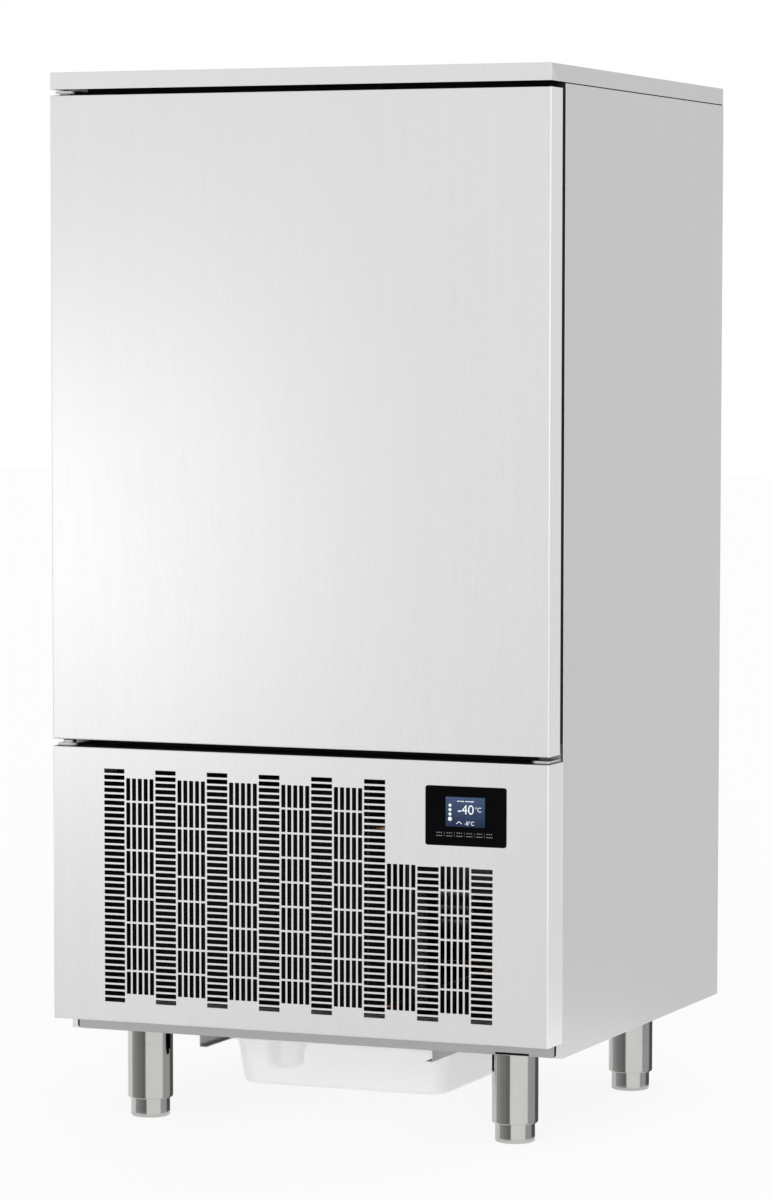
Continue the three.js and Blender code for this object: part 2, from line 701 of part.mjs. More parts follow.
function dripTray() {
  const outer = lofted([
    trayLoop(zTrayBottom, TRAY_DRAFT + TRAY_FILLET),
    trayLoop(zTrayBottom + TRAY_FILLET * CURVE_KNEE, TRAY_DRAFT + TRAY_FILLET * CURVE_KNEE),
    trayLoop(zTrayBottom + TRAY_FILLET, TRAY_DRAFT),
    trayLoop(zTrayTop, 0),
  ]);
  const hollow = lofted([
    trayLoop(zTrayBottom + TRAY_WALL, TRAY_DRAFT + TRAY_FILLET + TRAY_WALL),
    trayLoop(zTrayBottom + TRAY_FILLET + TRAY_WALL, TRAY_DRAFT + TRAY_WALL),
    trayLoop(zTrayTop, TRAY_WALL),
    trayLoop(zTrayTop + TRAY_WALL, TRAY_WALL),
  ]);
  const rim = lofted([trayLoop(zTrayRim, -TRAY_RIM), trayLoop(zTrayTop, -TRAY_RIM)]);
  return cut(join(outer, rim), hollow);
}
add('drip_tray', dripTray(), whitePlastic);

// ---------------------------------------------------------------- front panel and controls

const fasciaX = [half - FASCIA_RIGHT - FASCIA_WIDTH, half - FASCIA_RIGHT];
const fasciaZ = [zPanelTop - FASCIA_TOP - FASCIA_HEIGHT, zPanelTop - FASCIA_TOP];
const screenX = [fasciaX[0] + SCREEN_LEFT, fasciaX[0] + SCREEN_LEFT + SCREEN_WIDTH];
const screenZ = [fasciaZ[0] + SCREEN_BOTTOM, fasciaZ[0] + SCREEN_BOTTOM + SCREEN_HEIGHT];
const housingX = inset(fasciaX, HOUSING_RIM);
const housingZ = inset(fasciaZ, HOUSING_RIM);

/** The x and z span of each slot that is punched in the front panel. */
function panelSlots() {
  const slots = [];
  const rowPitch = SLOT_WIDTH + SLOT_BRIDGE;
  const groupWidth = GROUP_SLOTS * rowPitch - SLOT_BRIDGE;
  const columnPitch = SLOT_LENGTH + groupWidth + 2 * SLOT_BRIDGE;
  const left = -((COLUMNS - 1) * columnPitch + SLOT_LENGTH) / 2;
  const low = zPanelBottom + SLOT_BOTTOM;
  for (let column = 0; column < COLUMNS; column += 1) {
    const start = left + column * columnPitch;
    const rows = column < COLUMNS - SHORT_COLUMNS ? TALL_ROWS : SHORT_ROWS;
    for (let row = 0; row < rows; row += 1) {
      const z = low + row * rowPitch;
      slots.push([[start, start + SLOT_LENGTH], [z, z + SLOT_WIDTH]]);
    }
    if (column === COLUMNS - 1) {
      break;
    }
    const tall = column < COLUMNS - SHORT_COLUMNS - 1;
    const groupRows = tall ? TALL_GROUP_ROWS : SHORT_GROUP_ROWS;
    for (let row = 0; row < groupRows; row += 1) {
      const x = start + SLOT_LENGTH + SLOT_BRIDGE;
      const z = low + GROUP_RISE + row * (SLOT_LENGTH + SLOT_BRIDGE);
      slots.push([[x, x + groupWidth], [z, z + SLOT_LENGTH]]);
    }
  }
  return slots;
}

function frontPanel() {
  const z = [zPanelBottom, zPanelTop];
  const box = pan(centred(half), [yFace, yCabinet - FIT], z, SHEET, '+y');
  const through = about(yFace, 4 * SHEET);
  const slots = mergeGeometries(panelSlots().map(([x, zSlot]) => block(x, through, zSlot)));
  const housing = block(inset(housingX, -FIT), through, inset(housingZ, -FIT));
  return cut(box, slots, housing);
}
add('front_panel', frontPanel(), stainless);

const fasciaBack = yFace - FIT;
const fasciaFront = fasciaBack - FASCIA_THICKNESS;

function controlFascia() {
  const outline = roundedRectangle(fasciaX, fasciaZ, FASCIA_CORNER);
  const through = about(fasciaFront, 6 * FASCIA_THICKNESS);
  const opening = block(inset(screenX, -FIT), through, inset(screenZ, -FIT));
  return cut(fronted(outline, [fasciaFront, fasciaBack]), opening);
}
add('control_fascia', controlFascia(), blackGlass);

function displayScreen() {
  const pane = block(screenX, [fasciaFront + SCREEN_RECESS, yFace + FIT], screenZ);
  const moduleY = [yFace, yFace + SCREEN_MODULE_DEPTH];
  const rim = -SCREEN_MODULE_RIM;
  return join(pane, block(inset(screenX, rim), moduleY, inset(screenZ, rim)));
}
add('display_screen', displayScreen(), blueScreen);

const housingY = [yFace, yFace + HOUSING_DEPTH];
add('control_housing', pan(housingX, housingY, housingZ, HOUSING_WALL, '-y'), blackPlastic);

// ---------------------------------------------------------------- door and hinges

const doorX = centred(half);
const doorZ = [zDoorBottom, zDoorTop];
const hingeAt = [xHinge, yHinge];
const bushRadius = PIN_RADIUS + PIN_CLEARANCE + BUSH_WALL;
const bushReach = PIN_DEPTH + 2 * FIT + BUSH_FLANGE;

function bushHoles() {
  const low = [zDoorBottom - DOOR_GAP, zDoorBottom + bushReach];
  const high = [zDoorTop - bushReach, zDoorTop + LID_GAP];
  return [low, high].map((span) => rod('z', hingeAt, bushRadius + FIT, span));
}

function doorSkin() {
  const [left, right] = doorX;
  const radius = DOOR_EDGE_RADIUS;
  const plan = new THREE.Shape();
  plan.moveTo(left, yDoorBack);
  plan.lineTo(left, yFace + radius);
  plan.absarc(left + radius, yFace + radius, radius, Math.PI, Math.PI * 1.5, false);
  plan.lineTo(right - radius, yFace);
  plan.absarc(right - radius, yFace + radius, radius, -Math.PI / 2, 0, false);
  plan.lineTo(right, yDoorBack);
  plan.closePath();
  const hollowY = [yFace + SHEET, yDoorBack + SHEET];
  const hollow = block(inset(doorX, SHEET), hollowY, inset(doorZ, SHEET));
  return cut(raised(plan, doorZ, 3), hollow, ...bushHoles());
}
add('door_skin', doorSkin(), stainless);

const plateauInset = GASKET_INSET + GASKET_WIDTH + PLATEAU_CLEARANCE;
const yPlateau = yDoorBack + DOOR_PLATEAU;

function doorInnerPanel() {
  const sheet = block(inset(doorX, inside), [yDoorBack - DOOR_LINER, yDoorBack], inset(doorZ, inside));
  const field = block(
    inset(doorX, plateauInset),
    [yDoorBack - DOOR_LINER, yPlateau],
    inset(doorZ, plateauInset),
  );
  const pocket = block(
    inset(doorX, plateauInset + DOOR_LINER),
    [yDoorBack - 2 * DOOR_LINER, yPlateau - DOOR_LINER],
    inset(doorZ, plateauInset + DOOR_LINER),
  );
  return cut(join(sheet, field), pocket);
}
add('door_inner_panel', doorInnerPanel(), stainlessLight);

function doorInsulation() {
  const corner = DOOR_EDGE_RADIUS;
  const depth = [yFace + inside, yDoorBack - DOOR_LINER - FIT];
  const core = block(inset(doorX, inside + corner), depth, inset(doorZ, inside));
  const back = [yFace + inside + corner, depth[1]];
  const wings = block(inset(doorX, inside), back, inset(doorZ, inside));
  const boss = plateauInset + DOOR_LINER + FIT;
  const bossY = [depth[0], yPlateau - DOOR_LINER - FIT];
  const raisedField = block(inset(doorX, boss), bossY, inset(doorZ, boss));
  return cut(join(core, wings, raisedField), ...bushHoles());
}
add('door_insulation', doorInsulation(), foam);

function doorGasket() {
  const y = [yDoorBack + FIT, yCabinet - FIT];
  const outer = block(inset(doorX, GASKET_INSET), y, inset(doorZ, GASKET_INSET));
  const by = GASKET_INSET + GASKET_WIDTH;
  return cut(outer, block(inset(doorX, by), inset(y, -1), inset(doorZ, by)));
}
add('door_gasket', doorGasket(), blackRubber);

/** A flanged bush: the flange lies outside the door, below it or above it. */
function doorBush(zEdge, direction) {
  const bore = PIN_RADIUS + PIN_CLEARANCE;
  const flange = bushRadius + BUSH_FLANGE_RIM;
  const level = (height) => zEdge + direction * height;
  const profile = [
    [bore, level(FIT + BUSH_FLANGE)],
    [flange, level(FIT + BUSH_FLANGE)],
    [flange, level(FIT)],
    [bushRadius, level(FIT)],
    [bushRadius, level(-PIN_DEPTH - FIT)],
    [bore, level(-PIN_DEPTH - FIT)],
    [bore, level(FIT + BUSH_FLANGE)],
  ];
  return turned('z', hingeAt, direction < 0 ? profile : profile.reverse());
}
add('lower_door_bush', doorBush(zDoorBottom, -1), greyPlastic);
add('upper_door_bush', doorBush(zDoorTop, 1), greyPlastic);

/** The level arm and upright leg of a hinge plate, on the left of the cabinet. */
function hingePlate(zArm, legSpan) {
  const x = [-half + HINGE_ARM_INSET, -half + HINGE_ARM_INSET + HINGE_ARM];
  const y = [yHinge - HINGE_NOSE, yCabinet - FIT];
  const arm = new THREE.Shape();
  arm.moveTo(x[0], y[1]);
  arm.lineTo(x[0], y[0]);
  arm.lineTo(x[1] - HINGE_NOSE, y[0]);
  arm.absarc(x[1] - HINGE_NOSE, y[0] + HINGE_NOSE, HINGE_NOSE, -Math.PI / 2, 0, false);
  arm.lineTo(x[1], y[1]);
  arm.closePath();
  const leg = block(x, [y[1] - HINGE_PLATE, y[1]], legSpan);
  return join(raised(arm, [zArm, zArm + HINGE_PLATE], 6), leg);
}

const zLowerArm = zPanelTop + FIT;
const zUpperArm = zDoorTop + HINGE_LIFT;
const lowerLeg = [zLowerArm, zLowerArm + HINGE_LEG];
const upperLeg = [zUpperArm, zUpperArm + HINGE_LEG];

function lowerHingePlate() {
  const collarTop = zDoorBottom - BUSH_FLANGE - 2 * FIT;
  const collar = rod('z', hingeAt, PIN_RADIUS + COLLAR_RIM, [zLowerArm + WELD, collarTop]);
  const pin = rod('z', hingeAt, PIN_RADIUS, [zLowerArm + WELD, zDoorBottom + PIN_DEPTH]);
  return join(hingePlate(zLowerArm, lowerLeg), collar, pin);
}
add('lower_hinge_plate', lowerHingePlate(), satinSteel);

function upperHingePlate() {
  const pinZ = [zDoorTop - PIN_DEPTH, zUpperArm + HINGE_PLATE - WELD];
  const pin = rod('z', hingeAt, PIN_RADIUS, pinZ);
  return join(hingePlate(zUpperArm, upperLeg), pin);
}
add('upper_hinge_plate', upperHingePlate(), satinSteel);

// The door can be hung from the other side, so the right has the lower plate too.
const sparePlate = join(hingePlate(zLowerArm, lowerLeg).scale(-1, 1, 1));
add('spare_hinge_plate', sparePlate, satinSteel);

// ---------------------------------------------------------------- tray racks and chamber fittings

const rackY = [yCabinet + RACK_FRONT, yCabinet + RACK_FRONT + TRAY_DEPTH + RACK_SPARE];
const uprightX = [TRAY_WIDTH / 2 + TRAY_FIT, TRAY_WIDTH / 2 + TRAY_FIT + UPRIGHT];
const ledgeLevel = (level) => zFloor + FIRST_LEVEL + level * TRAY_PITCH;
const rackTop = ledgeLevel(TRAY_LEVELS - 1) + UPRIGHT_TOP;

/** Flat ledges welded to two uprights, which keep a tray from sliding sideways. */
function trayRack(turn) {
  const solids = [];
  for (const middle of [rackY[0] + UPRIGHT_INSET, rackY[1] - UPRIGHT_INSET]) {
    solids.push(block(turn(uprightX), about(middle, UPRIGHT), [zFloor + FIT, rackTop]));
    for (const hook of [ledgeLevel(0), ledgeLevel(TRAY_LEVELS - 1)]) {
      const reach = [uprightX[1] - WELD, chamberHalf - FIT];
      solids.push(block(turn(reach), about(middle, UPRIGHT), about(hook, HOOK_HEIGHT)));
    }
  }
  const ledge = [uprightX[0] + WELD - LEDGE_WIDTH, uprightX[0] + WELD];
  for (let level = 0; level < TRAY_LEVELS; level += 1) {
    const z = ledgeLevel(level);
    solids.push(block(turn(ledge), rackY, [z - LEDGE_SHEET, z]));
  }
  return join(...solids);
}
add('left_tray_rack', trayRack(mirrored), stainlessLight);
add('right_tray_rack', trayRack((span) => span), stainlessLight);

function probeGland() {
  const face = chamberHalf - FIT;
  return turned('x', probeAxis, [
    [PROBE_GLAND_BORE, face - PROBE_GLAND_FLANGE],
    [PROBE_GLAND_RADIUS, face - PROBE_GLAND_FLANGE],
    [PROBE_GLAND_RADIUS, face],
    [PROBE_GLAND_STEM, face],
    [PROBE_GLAND_STEM, chamberHalf + PROBE_GLAND_DEPTH],
    [PROBE_GLAND_BORE, chamberHalf + PROBE_GLAND_DEPTH],
    [PROBE_GLAND_BORE, face - PROBE_GLAND_FLANGE],
  ]);
}
add('probe_gland', probeGland(), greyPlastic);

function drainPipe() {
  const top = zFloor + FIT;
  return turned('z', [0, yDrain], [
    [DRAIN_BORE, zBody - DRAIN_DROP],
    [DRAIN_RADIUS, zBody - DRAIN_DROP],
    [DRAIN_RADIUS, top],
    [DRAIN_FLANGE, top],
    [DRAIN_FLANGE, top + DRAIN_LIP],
    [DRAIN_BORE, top + DRAIN_LIP],
    [DRAIN_BORE, zBody - DRAIN_DROP],
  ], HIDDEN_SIDES);
}
add('drain_pipe', drainPipe(), greyPlastic);

// ---------------------------------------------------------------- fans

/** A rotor with twisted blades, turning about an axis along Y through (x, z). */
function fanRotor([x, z], yPanel, radius) {
  const hubY = [yPanel - HUB_FRONT, yPanel + HUB_REAR];
  const hub = rod('y', [x, z], HUB_RADIUS, hubY, HIDDEN_SIDES);
  const blades = [];
  const middle = (hubY[0] + hubY[1]) / 2;
  for (let blade = 0; blade < FAN_BLADES; blade += 1) {
    const turn = (blade / FAN_BLADES) * Math.PI * 2;
    const loops = [BLADE_ROOT, (HUB_RADIUS + radius) / 2, radius].map((reach, step) => {
      const pitch = THREE.MathUtils.degToRad(BLADE_PITCH + (1 - step) * BLADE_TWIST);
      const chord = (BLADE_CHORD - (1 - step) * BLADE_TAPER) / 2;
      const thick = BLADE_THICKNESS / 2;
      const section = [[-chord, -thick], [chord, -thick], [chord, thick], [-chord, thick]];
      return section.map(([u, v]) => {
        const depth = u * Math.sin(pitch) + v * Math.cos(pitch);
        const swing = turn + (u * Math.cos(pitch) - v * Math.sin(pitch)) / radius;
        return [x + reach * Math.cos(swing), middle + depth, z + reach * Math.sin(swing)];
      });
    });
    blades.push(lofted(loops));
  }
  const bore = rod(
    'y',
    [x, z],
    SHAFT_RADIUS + SHAFT_CLEARANCE,
    [hubY[1] - SHAFT_DEPTH - FIT, hubY[1] + WELD],
    HIDDEN_SIDES,
  );
  return cut(join(hub, ...blades), bore);
}

/** A bar from the axis outwards at an angle, in the plane of a fan. */
function spoke([x, z], angle, [inner, outer], width, y) {
  const bar = block([inner, outer], y, about(0, width));
  return bar.rotateY(-angle).translate(x, 0, z);
}

/** A motor behind its panel, on arms that reach back to the rim of the opening. */
function fanMotor([x, z], yPanel, radius) {
  const yArm = yPanel + HUB_REAR + ARM_GAP;
  const rim = radius + FAN_CLEARANCE + ARM_REACH;
  const parts = [
    rod('y', [x, z], MOTOR_RADIUS, [yArm, yArm + MOTOR_LENGTH], HIDDEN_SIDES),
    rod('y', [x, z], SHAFT_RADIUS, [yPanel + HUB_REAR - SHAFT_DEPTH, yArm + WELD], HIDDEN_SIDES),
  ];
  for (let arm = 0; arm < MOTOR_ARMS; arm += 1) {
    const angle = ((arm + 0.5) / MOTOR_ARMS) * Math.PI * 2;
    const armY = [yArm, yArm + ARM_THICKNESS];
    const footY = [yPanel + SHEET + FIT, yArm + ARM_THICKNESS];
    parts.push(spoke([x, z], angle, [MOTOR_RADIUS / 2, rim], ARM_WIDTH, armY));
    parts.push(spoke([x, z], angle, [rim - ARM_THICKNESS, rim], ARM_WIDTH, footY));
  }
  return join(...parts);
}

/** A wire guard: a hoop that stands on the panel, rings and bars across its front. */
function fanGuard([x, z], yPanel, radius) {
  const outer = radius + FAN_CLEARANCE + GUARD_RIM + GUARD_WIRE;
  const back = yPanel - FIT;
  const front = back - GUARD_DEPTH;
  const ring = (reach, y) => turned('y', [x, z], [
    [reach - GUARD_WIRE, y[0]],
    [reach, y[0]],
    [reach, y[1]],
    [reach - GUARD_WIRE, y[1]],
    [reach - GUARD_WIRE, y[0]],
  ]);
  const parts = [ring(outer, [front, back])];
  for (let step = 1; step <= GUARD_RINGS; step += 1) {
    const reach = (outer * step) / (GUARD_RINGS + 1);
    parts.push(ring(reach, [front, front + GUARD_WIRE]));
  }
  for (let bar = 0; bar < GUARD_BARS; bar += 1) {
    const angle = (bar / GUARD_BARS) * Math.PI;
    const across = centred(outer - GUARD_WIRE / 2);
    parts.push(spoke([x, z], angle, across, GUARD_WIRE, [front, front + GUARD_WIRE]));
  }
  return join(...parts);
}

// ---------------------------------------------------------------- air cooler

const zMiddle = (zFloor + zCeiling) / 2;
const coolerFans = { lower: [0, zMiddle - FAN_SPREAD], upper: [0, zMiddle + FAN_SPREAD] };

/** A flat sheet with two round openings, folded back along its top and bottom, on four tabs. */
function fanPanel() {
  const x = centred(FAN_PANEL_HALF);
  const z = inset([zFloor, zCeiling], FAN_PANEL_MARGIN);
  const y = [yFanPanel, yFanPanel + FAN_PANEL_RETURN];
  const behind = [yFanPanel + SHEET, y[1] + SHEET];
  const sheet = cut(block(x, y, z), block(inset(x, -SHEET), behind, inset(z, SHEET)));
  const openings = Object.values(coolerFans).map((at) => (
    rod('y', at, COOLER_FAN_RADIUS + FAN_CLEARANCE, about(yFanPanel, 6 * SHEET), OPENING_SIDES)
  ));
  const tabs = [];
  for (const side of [-1, 1]) {
    const tabX = about(side * (FAN_PANEL_HALF - FAN_PANEL_TAB), FAN_PANEL_TAB);
    const tabY = [yFanPanel, yFanPanel + 2 * SHEET];
    tabs.push(block(tabX, tabY, [zFloor + FIT, z[0] + WELD]));
    tabs.push(block(tabX, tabY, [z[1] - WELD, zCeiling - FIT]));
  }
  return join(cut(sheet, ...openings), ...tabs);
}
add('fan_panel', fanPanel(), stainlessLight);

for (const [level, at] of Object.entries(coolerFans)) {
  add(`${level}_fan_guard`, fanGuard(at, yFanPanel, COOLER_FAN_RADIUS), satinSteel);
  add(`${level}_fan_rotor`, fanRotor(at, yFanPanel, COOLER_FAN_RADIUS), blackPlastic);
  add(`${level}_fan_motor`, fanMotor(at, yFanPanel, COOLER_FAN_RADIUS), blackPaint);
}

/** A return bend on a coil's end plate, between two tubes one above the other. */
function returnBend(xPlate, y, z) {
  const corners = [
    [xPlate - WELD, y, z - BEND_RADIUS],
    [xPlate + BEND_RADIUS, y, z - BEND_RADIUS],
    [xPlate + BEND_RADIUS, y, z + BEND_RADIUS],
    [xPlate - WELD, y, z + BEND_RADIUS],
  ];
  return pipe(corners, BEND_TUBE, BEND_RADIUS);
}

const coilY = [yCoilRear - COIL_DEPTH, yCoilRear];
const coilZ = inset([zFloor, zCeiling], COIL_MARGIN);

function evaporatorCoil() {
  const parts = [block(centred(COIL_HALF), coilY, coilZ)];
  for (const side of [-1, 1]) {
    const plate = about(side * (COIL_HALF + COIL_PLATE / 2 - FIT), COIL_PLATE);
    parts.push(block(plate, [coilY[0] - COIL_REAR, yChamberRear - FIT], inset(coilZ, -COIL_REAR)));
  }
  const span = (coilZ[1] - coilZ[0]) / BEND_COUNT;
  for (let bend = 0; bend < BEND_COUNT; bend += 1) {
    const z = coilZ[0] + (bend + 0.5) * span;
    parts.push(returnBend(COIL_HALF + COIL_PLATE - FIT, (coilY[0] + coilY[1]) / 2, z));
  }
  return join(...parts);
}
add('evaporator_coil', evaporatorCoil(), finStock);

// ---------------------------------------------------------------- machine compartment

const condenserX = [-half + CONDENSER_LEFT, -half + CONDENSER_LEFT + CONDENSER_WIDTH];
const condenserY = [yCabinet + CONDENSER_FRONT, yCabinet + CONDENSER_FRONT + CONDENSER_DEPTH];
const condenserZ = [zPan + FIT, zPan + FIT + CONDENSER_HEIGHT];
const shroudY = [condenserY[1] + FIT, condenserY[1] + FIT + SHROUD_DEPTH];

function condenserCoil() {
  const fins = block(
    inset(condenserX, CONDENSER_PLATE / 2),
    inset(condenserY, CONDENSER_PLATE),
    [zBody - FIT + LEG_STUD_LENGTH + CONDENSER_TRAY, condenserZ[1] - CONDENSER_TRAY],
  );
  const left = [condenserX[0], condenserX[0] + CONDENSER_PLATE];
  const right = [condenserX[1] - CONDENSER_PLATE, condenserX[1]];
  return join(fins, block(left, condenserY, condenserZ), block(right, condenserY, condenserZ));
}
add('condenser_coil', condenserCoil(), finStock);

// The back wall of the shroud carries the condenser's fan.
const condenserFan = [(condenserX[0] + condenserX[1]) / 2, (condenserZ[0] + condenserZ[1]) / 2];
const yShroudWall = shroudY[1] - SHEET;

function fanShroud() {
  const box = pan(condenserX, shroudY, condenserZ, SHEET, '-y');
  const radius = CONDENSER_FAN_RADIUS + FAN_CLEARANCE;
  const opening = rod('y', condenserFan, radius, about(yShroudWall, 6 * SHEET), OPENING_SIDES);
  return cut(box, opening);
}
add('fan_shroud', fanShroud(), galvanised);
add('condenser_fan_rotor', fanRotor(condenserFan, yShroudWall, CONDENSER_FAN_RADIUS), blackPlastic);
add('condenser_fan_motor', fanMotor(condenserFan, yShroudWall, CONDENSER_FAN_RADIUS), blackPaint);

const compressorAt = [half - COMPRESSOR_SIDE, yRear - COMPRESSOR_REAR];
const zCompressorPlate = zPan + FIT + COMPRESSOR_FOOT;
const zCompressorTop = zCompressorPlate + COMPRESSOR_PLATE + COMPRESSOR_HEIGHT;

function compressor() {
  const [x, y] = compressorAt;
  const radius = COMPRESSOR_RADIUS;
  const base = zCompressorPlate + COMPRESSOR_PLATE;
  const pot = [[0, base - WELD], [COMPRESSOR_BOWL_RADIUS, base - WELD]];
  for (let step = 0; step <= BOWL_STEPS; step += 1) {
    const angle = (step / BOWL_STEPS) * (Math.PI / 2);
    const reach = THREE.MathUtils.lerp(COMPRESSOR_BOWL_RADIUS, radius, Math.sin(angle));
    pot.push([reach, base + COMPRESSOR_BOWL * (1 - Math.cos(angle))]);
  }
  for (let step = 0; step <= DOME_STEPS; step += 1) {
    const angle = (step / DOME_STEPS) * (Math.PI / 2);
    const drop = COMPRESSOR_DOME * (1 - Math.sin(angle));
    pot.push([radius * Math.cos(angle), zCompressorTop - drop]);
  }
  const footprint = radius + COMPRESSOR_PLATE_RIM;
  const plateZ = [zCompressorPlate, base];
  const plate = block(about(x, 2 * footprint), about(y, 2 * footprint), plateZ);
  const feet = [];
  const spread = footprint - COMPRESSOR_FOOT_RADIUS;
  const footZ = [zPan + FIT, zCompressorPlate + WELD];
  for (const side of [-spread, spread]) {
    for (const end of [-spread, spread]) {
      feet.push(rod('z', [x + side, y + end], COMPRESSOR_FOOT_RADIUS, footZ, PIPE_SIDES));
    }
  }
  return join(turned('z', compressorAt, pot, HIDDEN_SIDES), plate, ...feet);
}
add('compressor', compressor(), blackPaint);

const receiverAt = [RECEIVER_X, yRear - RECEIVER_REAR];
const zReceiverTop = zPan + FIT + RECEIVER_STAND + RECEIVER_HEIGHT;

function liquidReceiver() {
  const low = zPan + FIT;
  const radius = RECEIVER_RADIUS;
  return turned('z', receiverAt, [
    [0, low],
    [RECEIVER_STAND_RADIUS, low],
    [RECEIVER_STAND_RADIUS, low + RECEIVER_STAND],
    [radius, low + RECEIVER_STAND + RECEIVER_SHOULDER],
    [radius, zReceiverTop - RECEIVER_SHOULDER],
    [RECEIVER_STAND_RADIUS, zReceiverTop - RECEIVER_SHOULDER * CURVE_KNEE],
    [RECEIVER_TOP_RADIUS, zReceiverTop],
    [0, zReceiverTop],
  ], HIDDEN_SIDES);
}
add('liquid_receiver', liquidReceiver(), blackPaint);

const electricalX = [half - ELECTRICAL_INSET - ELECTRICAL_WIDTH, half - ELECTRICAL_INSET];
const electricalY = [yCabinet + ELECTRICAL_INSET, yCabinet + ELECTRICAL_INSET + ELECTRICAL_DEPTH];
const electricalZ = [zDeckUnder - FIT - ELECTRICAL_HEIGHT, zDeckUnder - FIT];
add('electrical_box', pan(electricalX, electricalY, electricalZ, SHEET, '-y'), galvanised);

// ---------------------------------------------------------------- refrigerant pipes

const zCoilBottom = coilZ[0];
const zTurn = zDeckUnder - RISER_TURN;
const yCondenser = (condenserY[0] + condenserY[1]) / 2;

// Hot gas: compressor to the top of the condenser.
const xDischarge = condenserX[1] + DISCHARGE_LANE;
const zDischarge = zPan + DISCHARGE_HEIGHT;
const zPort = zPan + COMPRESSOR_PORT;
add('discharge_pipe', pipe([
  [compressorAt[0] - COMPRESSOR_RADIUS - FIT, compressorAt[1], zPort],
  [xDischarge, compressorAt[1], zPort],
  [xDischarge, compressorAt[1], zDischarge],
  [xDischarge, yCondenser, zDischarge],
  [condenserX[1] + FIT, yCondenser, zDischarge],
], PIPE_RADIUS), copper);

// Liquid: bottom of the condenser to the receiver.
const xOutlet = condenserX[1] + OUTLET_LANE;
const zOutlet = zPan + OUTLET_HEIGHT;
add('condenser_outlet_pipe', pipe([
  [condenserX[1] + FIT, yCondenser, zOutlet],
  [xOutlet, yCondenser, zOutlet],
  [xOutlet, receiverAt[1], zOutlet],
  [RECEIVER_X + RECEIVER_RADIUS + FIT, receiverAt[1], zOutlet],
], PIPE_RADIUS), copper);

// Liquid: receiver up through the chamber's floor to the coil.
add('liquid_pipe', pipe([
  [RECEIVER_X, receiverAt[1], zReceiverTop + FIT],
  [RECEIVER_X, receiverAt[1], zTurn],
  [LIQUID_RISER_X, yRiser, zTurn],
  [LIQUID_RISER_X, yRiser, zCoilBottom - FIT],
], PIPE_RADIUS), copper);

// Cold gas: coil down to the compressor.
add('suction_pipe', pipe([
  [SUCTION_RISER_X, yRiser, zCoilBottom - FIT],
  [SUCTION_RISER_X, yRiser, zTurn],
  [compressorAt[0], yRiser, zTurn],
  [...compressorAt, zTurn],
  [...compressorAt, zCompressorTop + FIT],
], SUCTION_RADIUS), copper);

export default chiller;
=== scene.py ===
"""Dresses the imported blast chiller: every piece modelled over the CAD frame, and its finishes.

The cabinet stands on the floor with its front towards -Y. All sizes are in metres, in the
frame of the CAD model, and each piece is placed from the box of the node that it stands for.
"""

import sys
import logging
import math
from dataclasses import dataclass, replace
from enum import Enum
from functools import lru_cache
from typing import Callable, Optional, Sequence, Union

import bmesh
import bpy
from mathutils import Matrix, Vector


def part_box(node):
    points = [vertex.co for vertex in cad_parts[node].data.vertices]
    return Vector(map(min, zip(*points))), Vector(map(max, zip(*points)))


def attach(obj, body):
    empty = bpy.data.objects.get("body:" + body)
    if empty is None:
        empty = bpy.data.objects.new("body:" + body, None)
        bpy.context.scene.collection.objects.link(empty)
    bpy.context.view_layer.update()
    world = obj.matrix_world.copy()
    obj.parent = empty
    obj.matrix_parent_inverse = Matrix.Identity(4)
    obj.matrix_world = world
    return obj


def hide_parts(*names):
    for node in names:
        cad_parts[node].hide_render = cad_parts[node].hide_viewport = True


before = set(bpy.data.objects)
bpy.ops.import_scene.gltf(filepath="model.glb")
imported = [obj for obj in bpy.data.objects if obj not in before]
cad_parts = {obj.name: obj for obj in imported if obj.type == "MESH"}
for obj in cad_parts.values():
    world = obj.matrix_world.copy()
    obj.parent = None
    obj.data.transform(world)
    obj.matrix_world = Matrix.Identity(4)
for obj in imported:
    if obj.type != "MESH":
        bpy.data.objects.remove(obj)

log = logging.getLogger("chiller")
MM = 0.001
SLACK = 0.1 * MM
FULL_TURN = 2 * math.pi
QUARTER_TURN = math.pi / 2
Point = Sequence[float]
Outline = Sequence[Point]
Piece = bpy.types.Object
Test = Callable[[Vector, Vector], bool]


class Axis(Enum):
    """A direction of the frame."""

    X = 0
    Y = 1
    Z = 2


class Side(Enum):
    """A side of the cabinet, as seen from its front."""

    LEFT = "left"
    RIGHT = "right"


class Level(Enum):
    """One of the two fans of the air cooler."""

    LOWER = "lower"
    UPPER = "upper"


@dataclass(frozen=True)
class Box:
    """The room that a CAD node takes, between its lowest and highest corner."""

    low: Vector
    high: Vector

    @classmethod
    def of(cls, node: str) -> "Box":
        """The box of a CAD node at rest."""
        return cls(*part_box(node))

    @property
    def middle(self) -> Vector:
        """The middle of the box."""
        return (self.low + self.high) / 2

    @property
    def size(self) -> Vector:
        """The box's three sides."""
        return self.high - self.low


def near(value: float, level: float) -> bool:
    """Whether a coordinate lies on a level."""
    return abs(value - level) < SLACK


def running(axis: Axis) -> Test:
    """A test for edges that run along an axis."""
    others = [other.value for other in Axis if other is not axis]
    return lambda a, b: all(near(a[at], b[at]) for at in others)


def lying(axis: Axis, place: float) -> Test:
    """A test for edges that lie in the plane at a place on an axis."""
    return lambda a, b: near(a[axis.value], place) and near(b[axis.value], place)


def both(first: Test, second: Test) -> Test:
    """A test that passes what two tests pass."""
    return lambda a, b: first(a, b) and second(a, b)


def facing(direction: Point) -> Test:
    """A test for faces that look in a direction."""
    return lambda _, normal: normal.dot(Vector(direction)) > 0.9


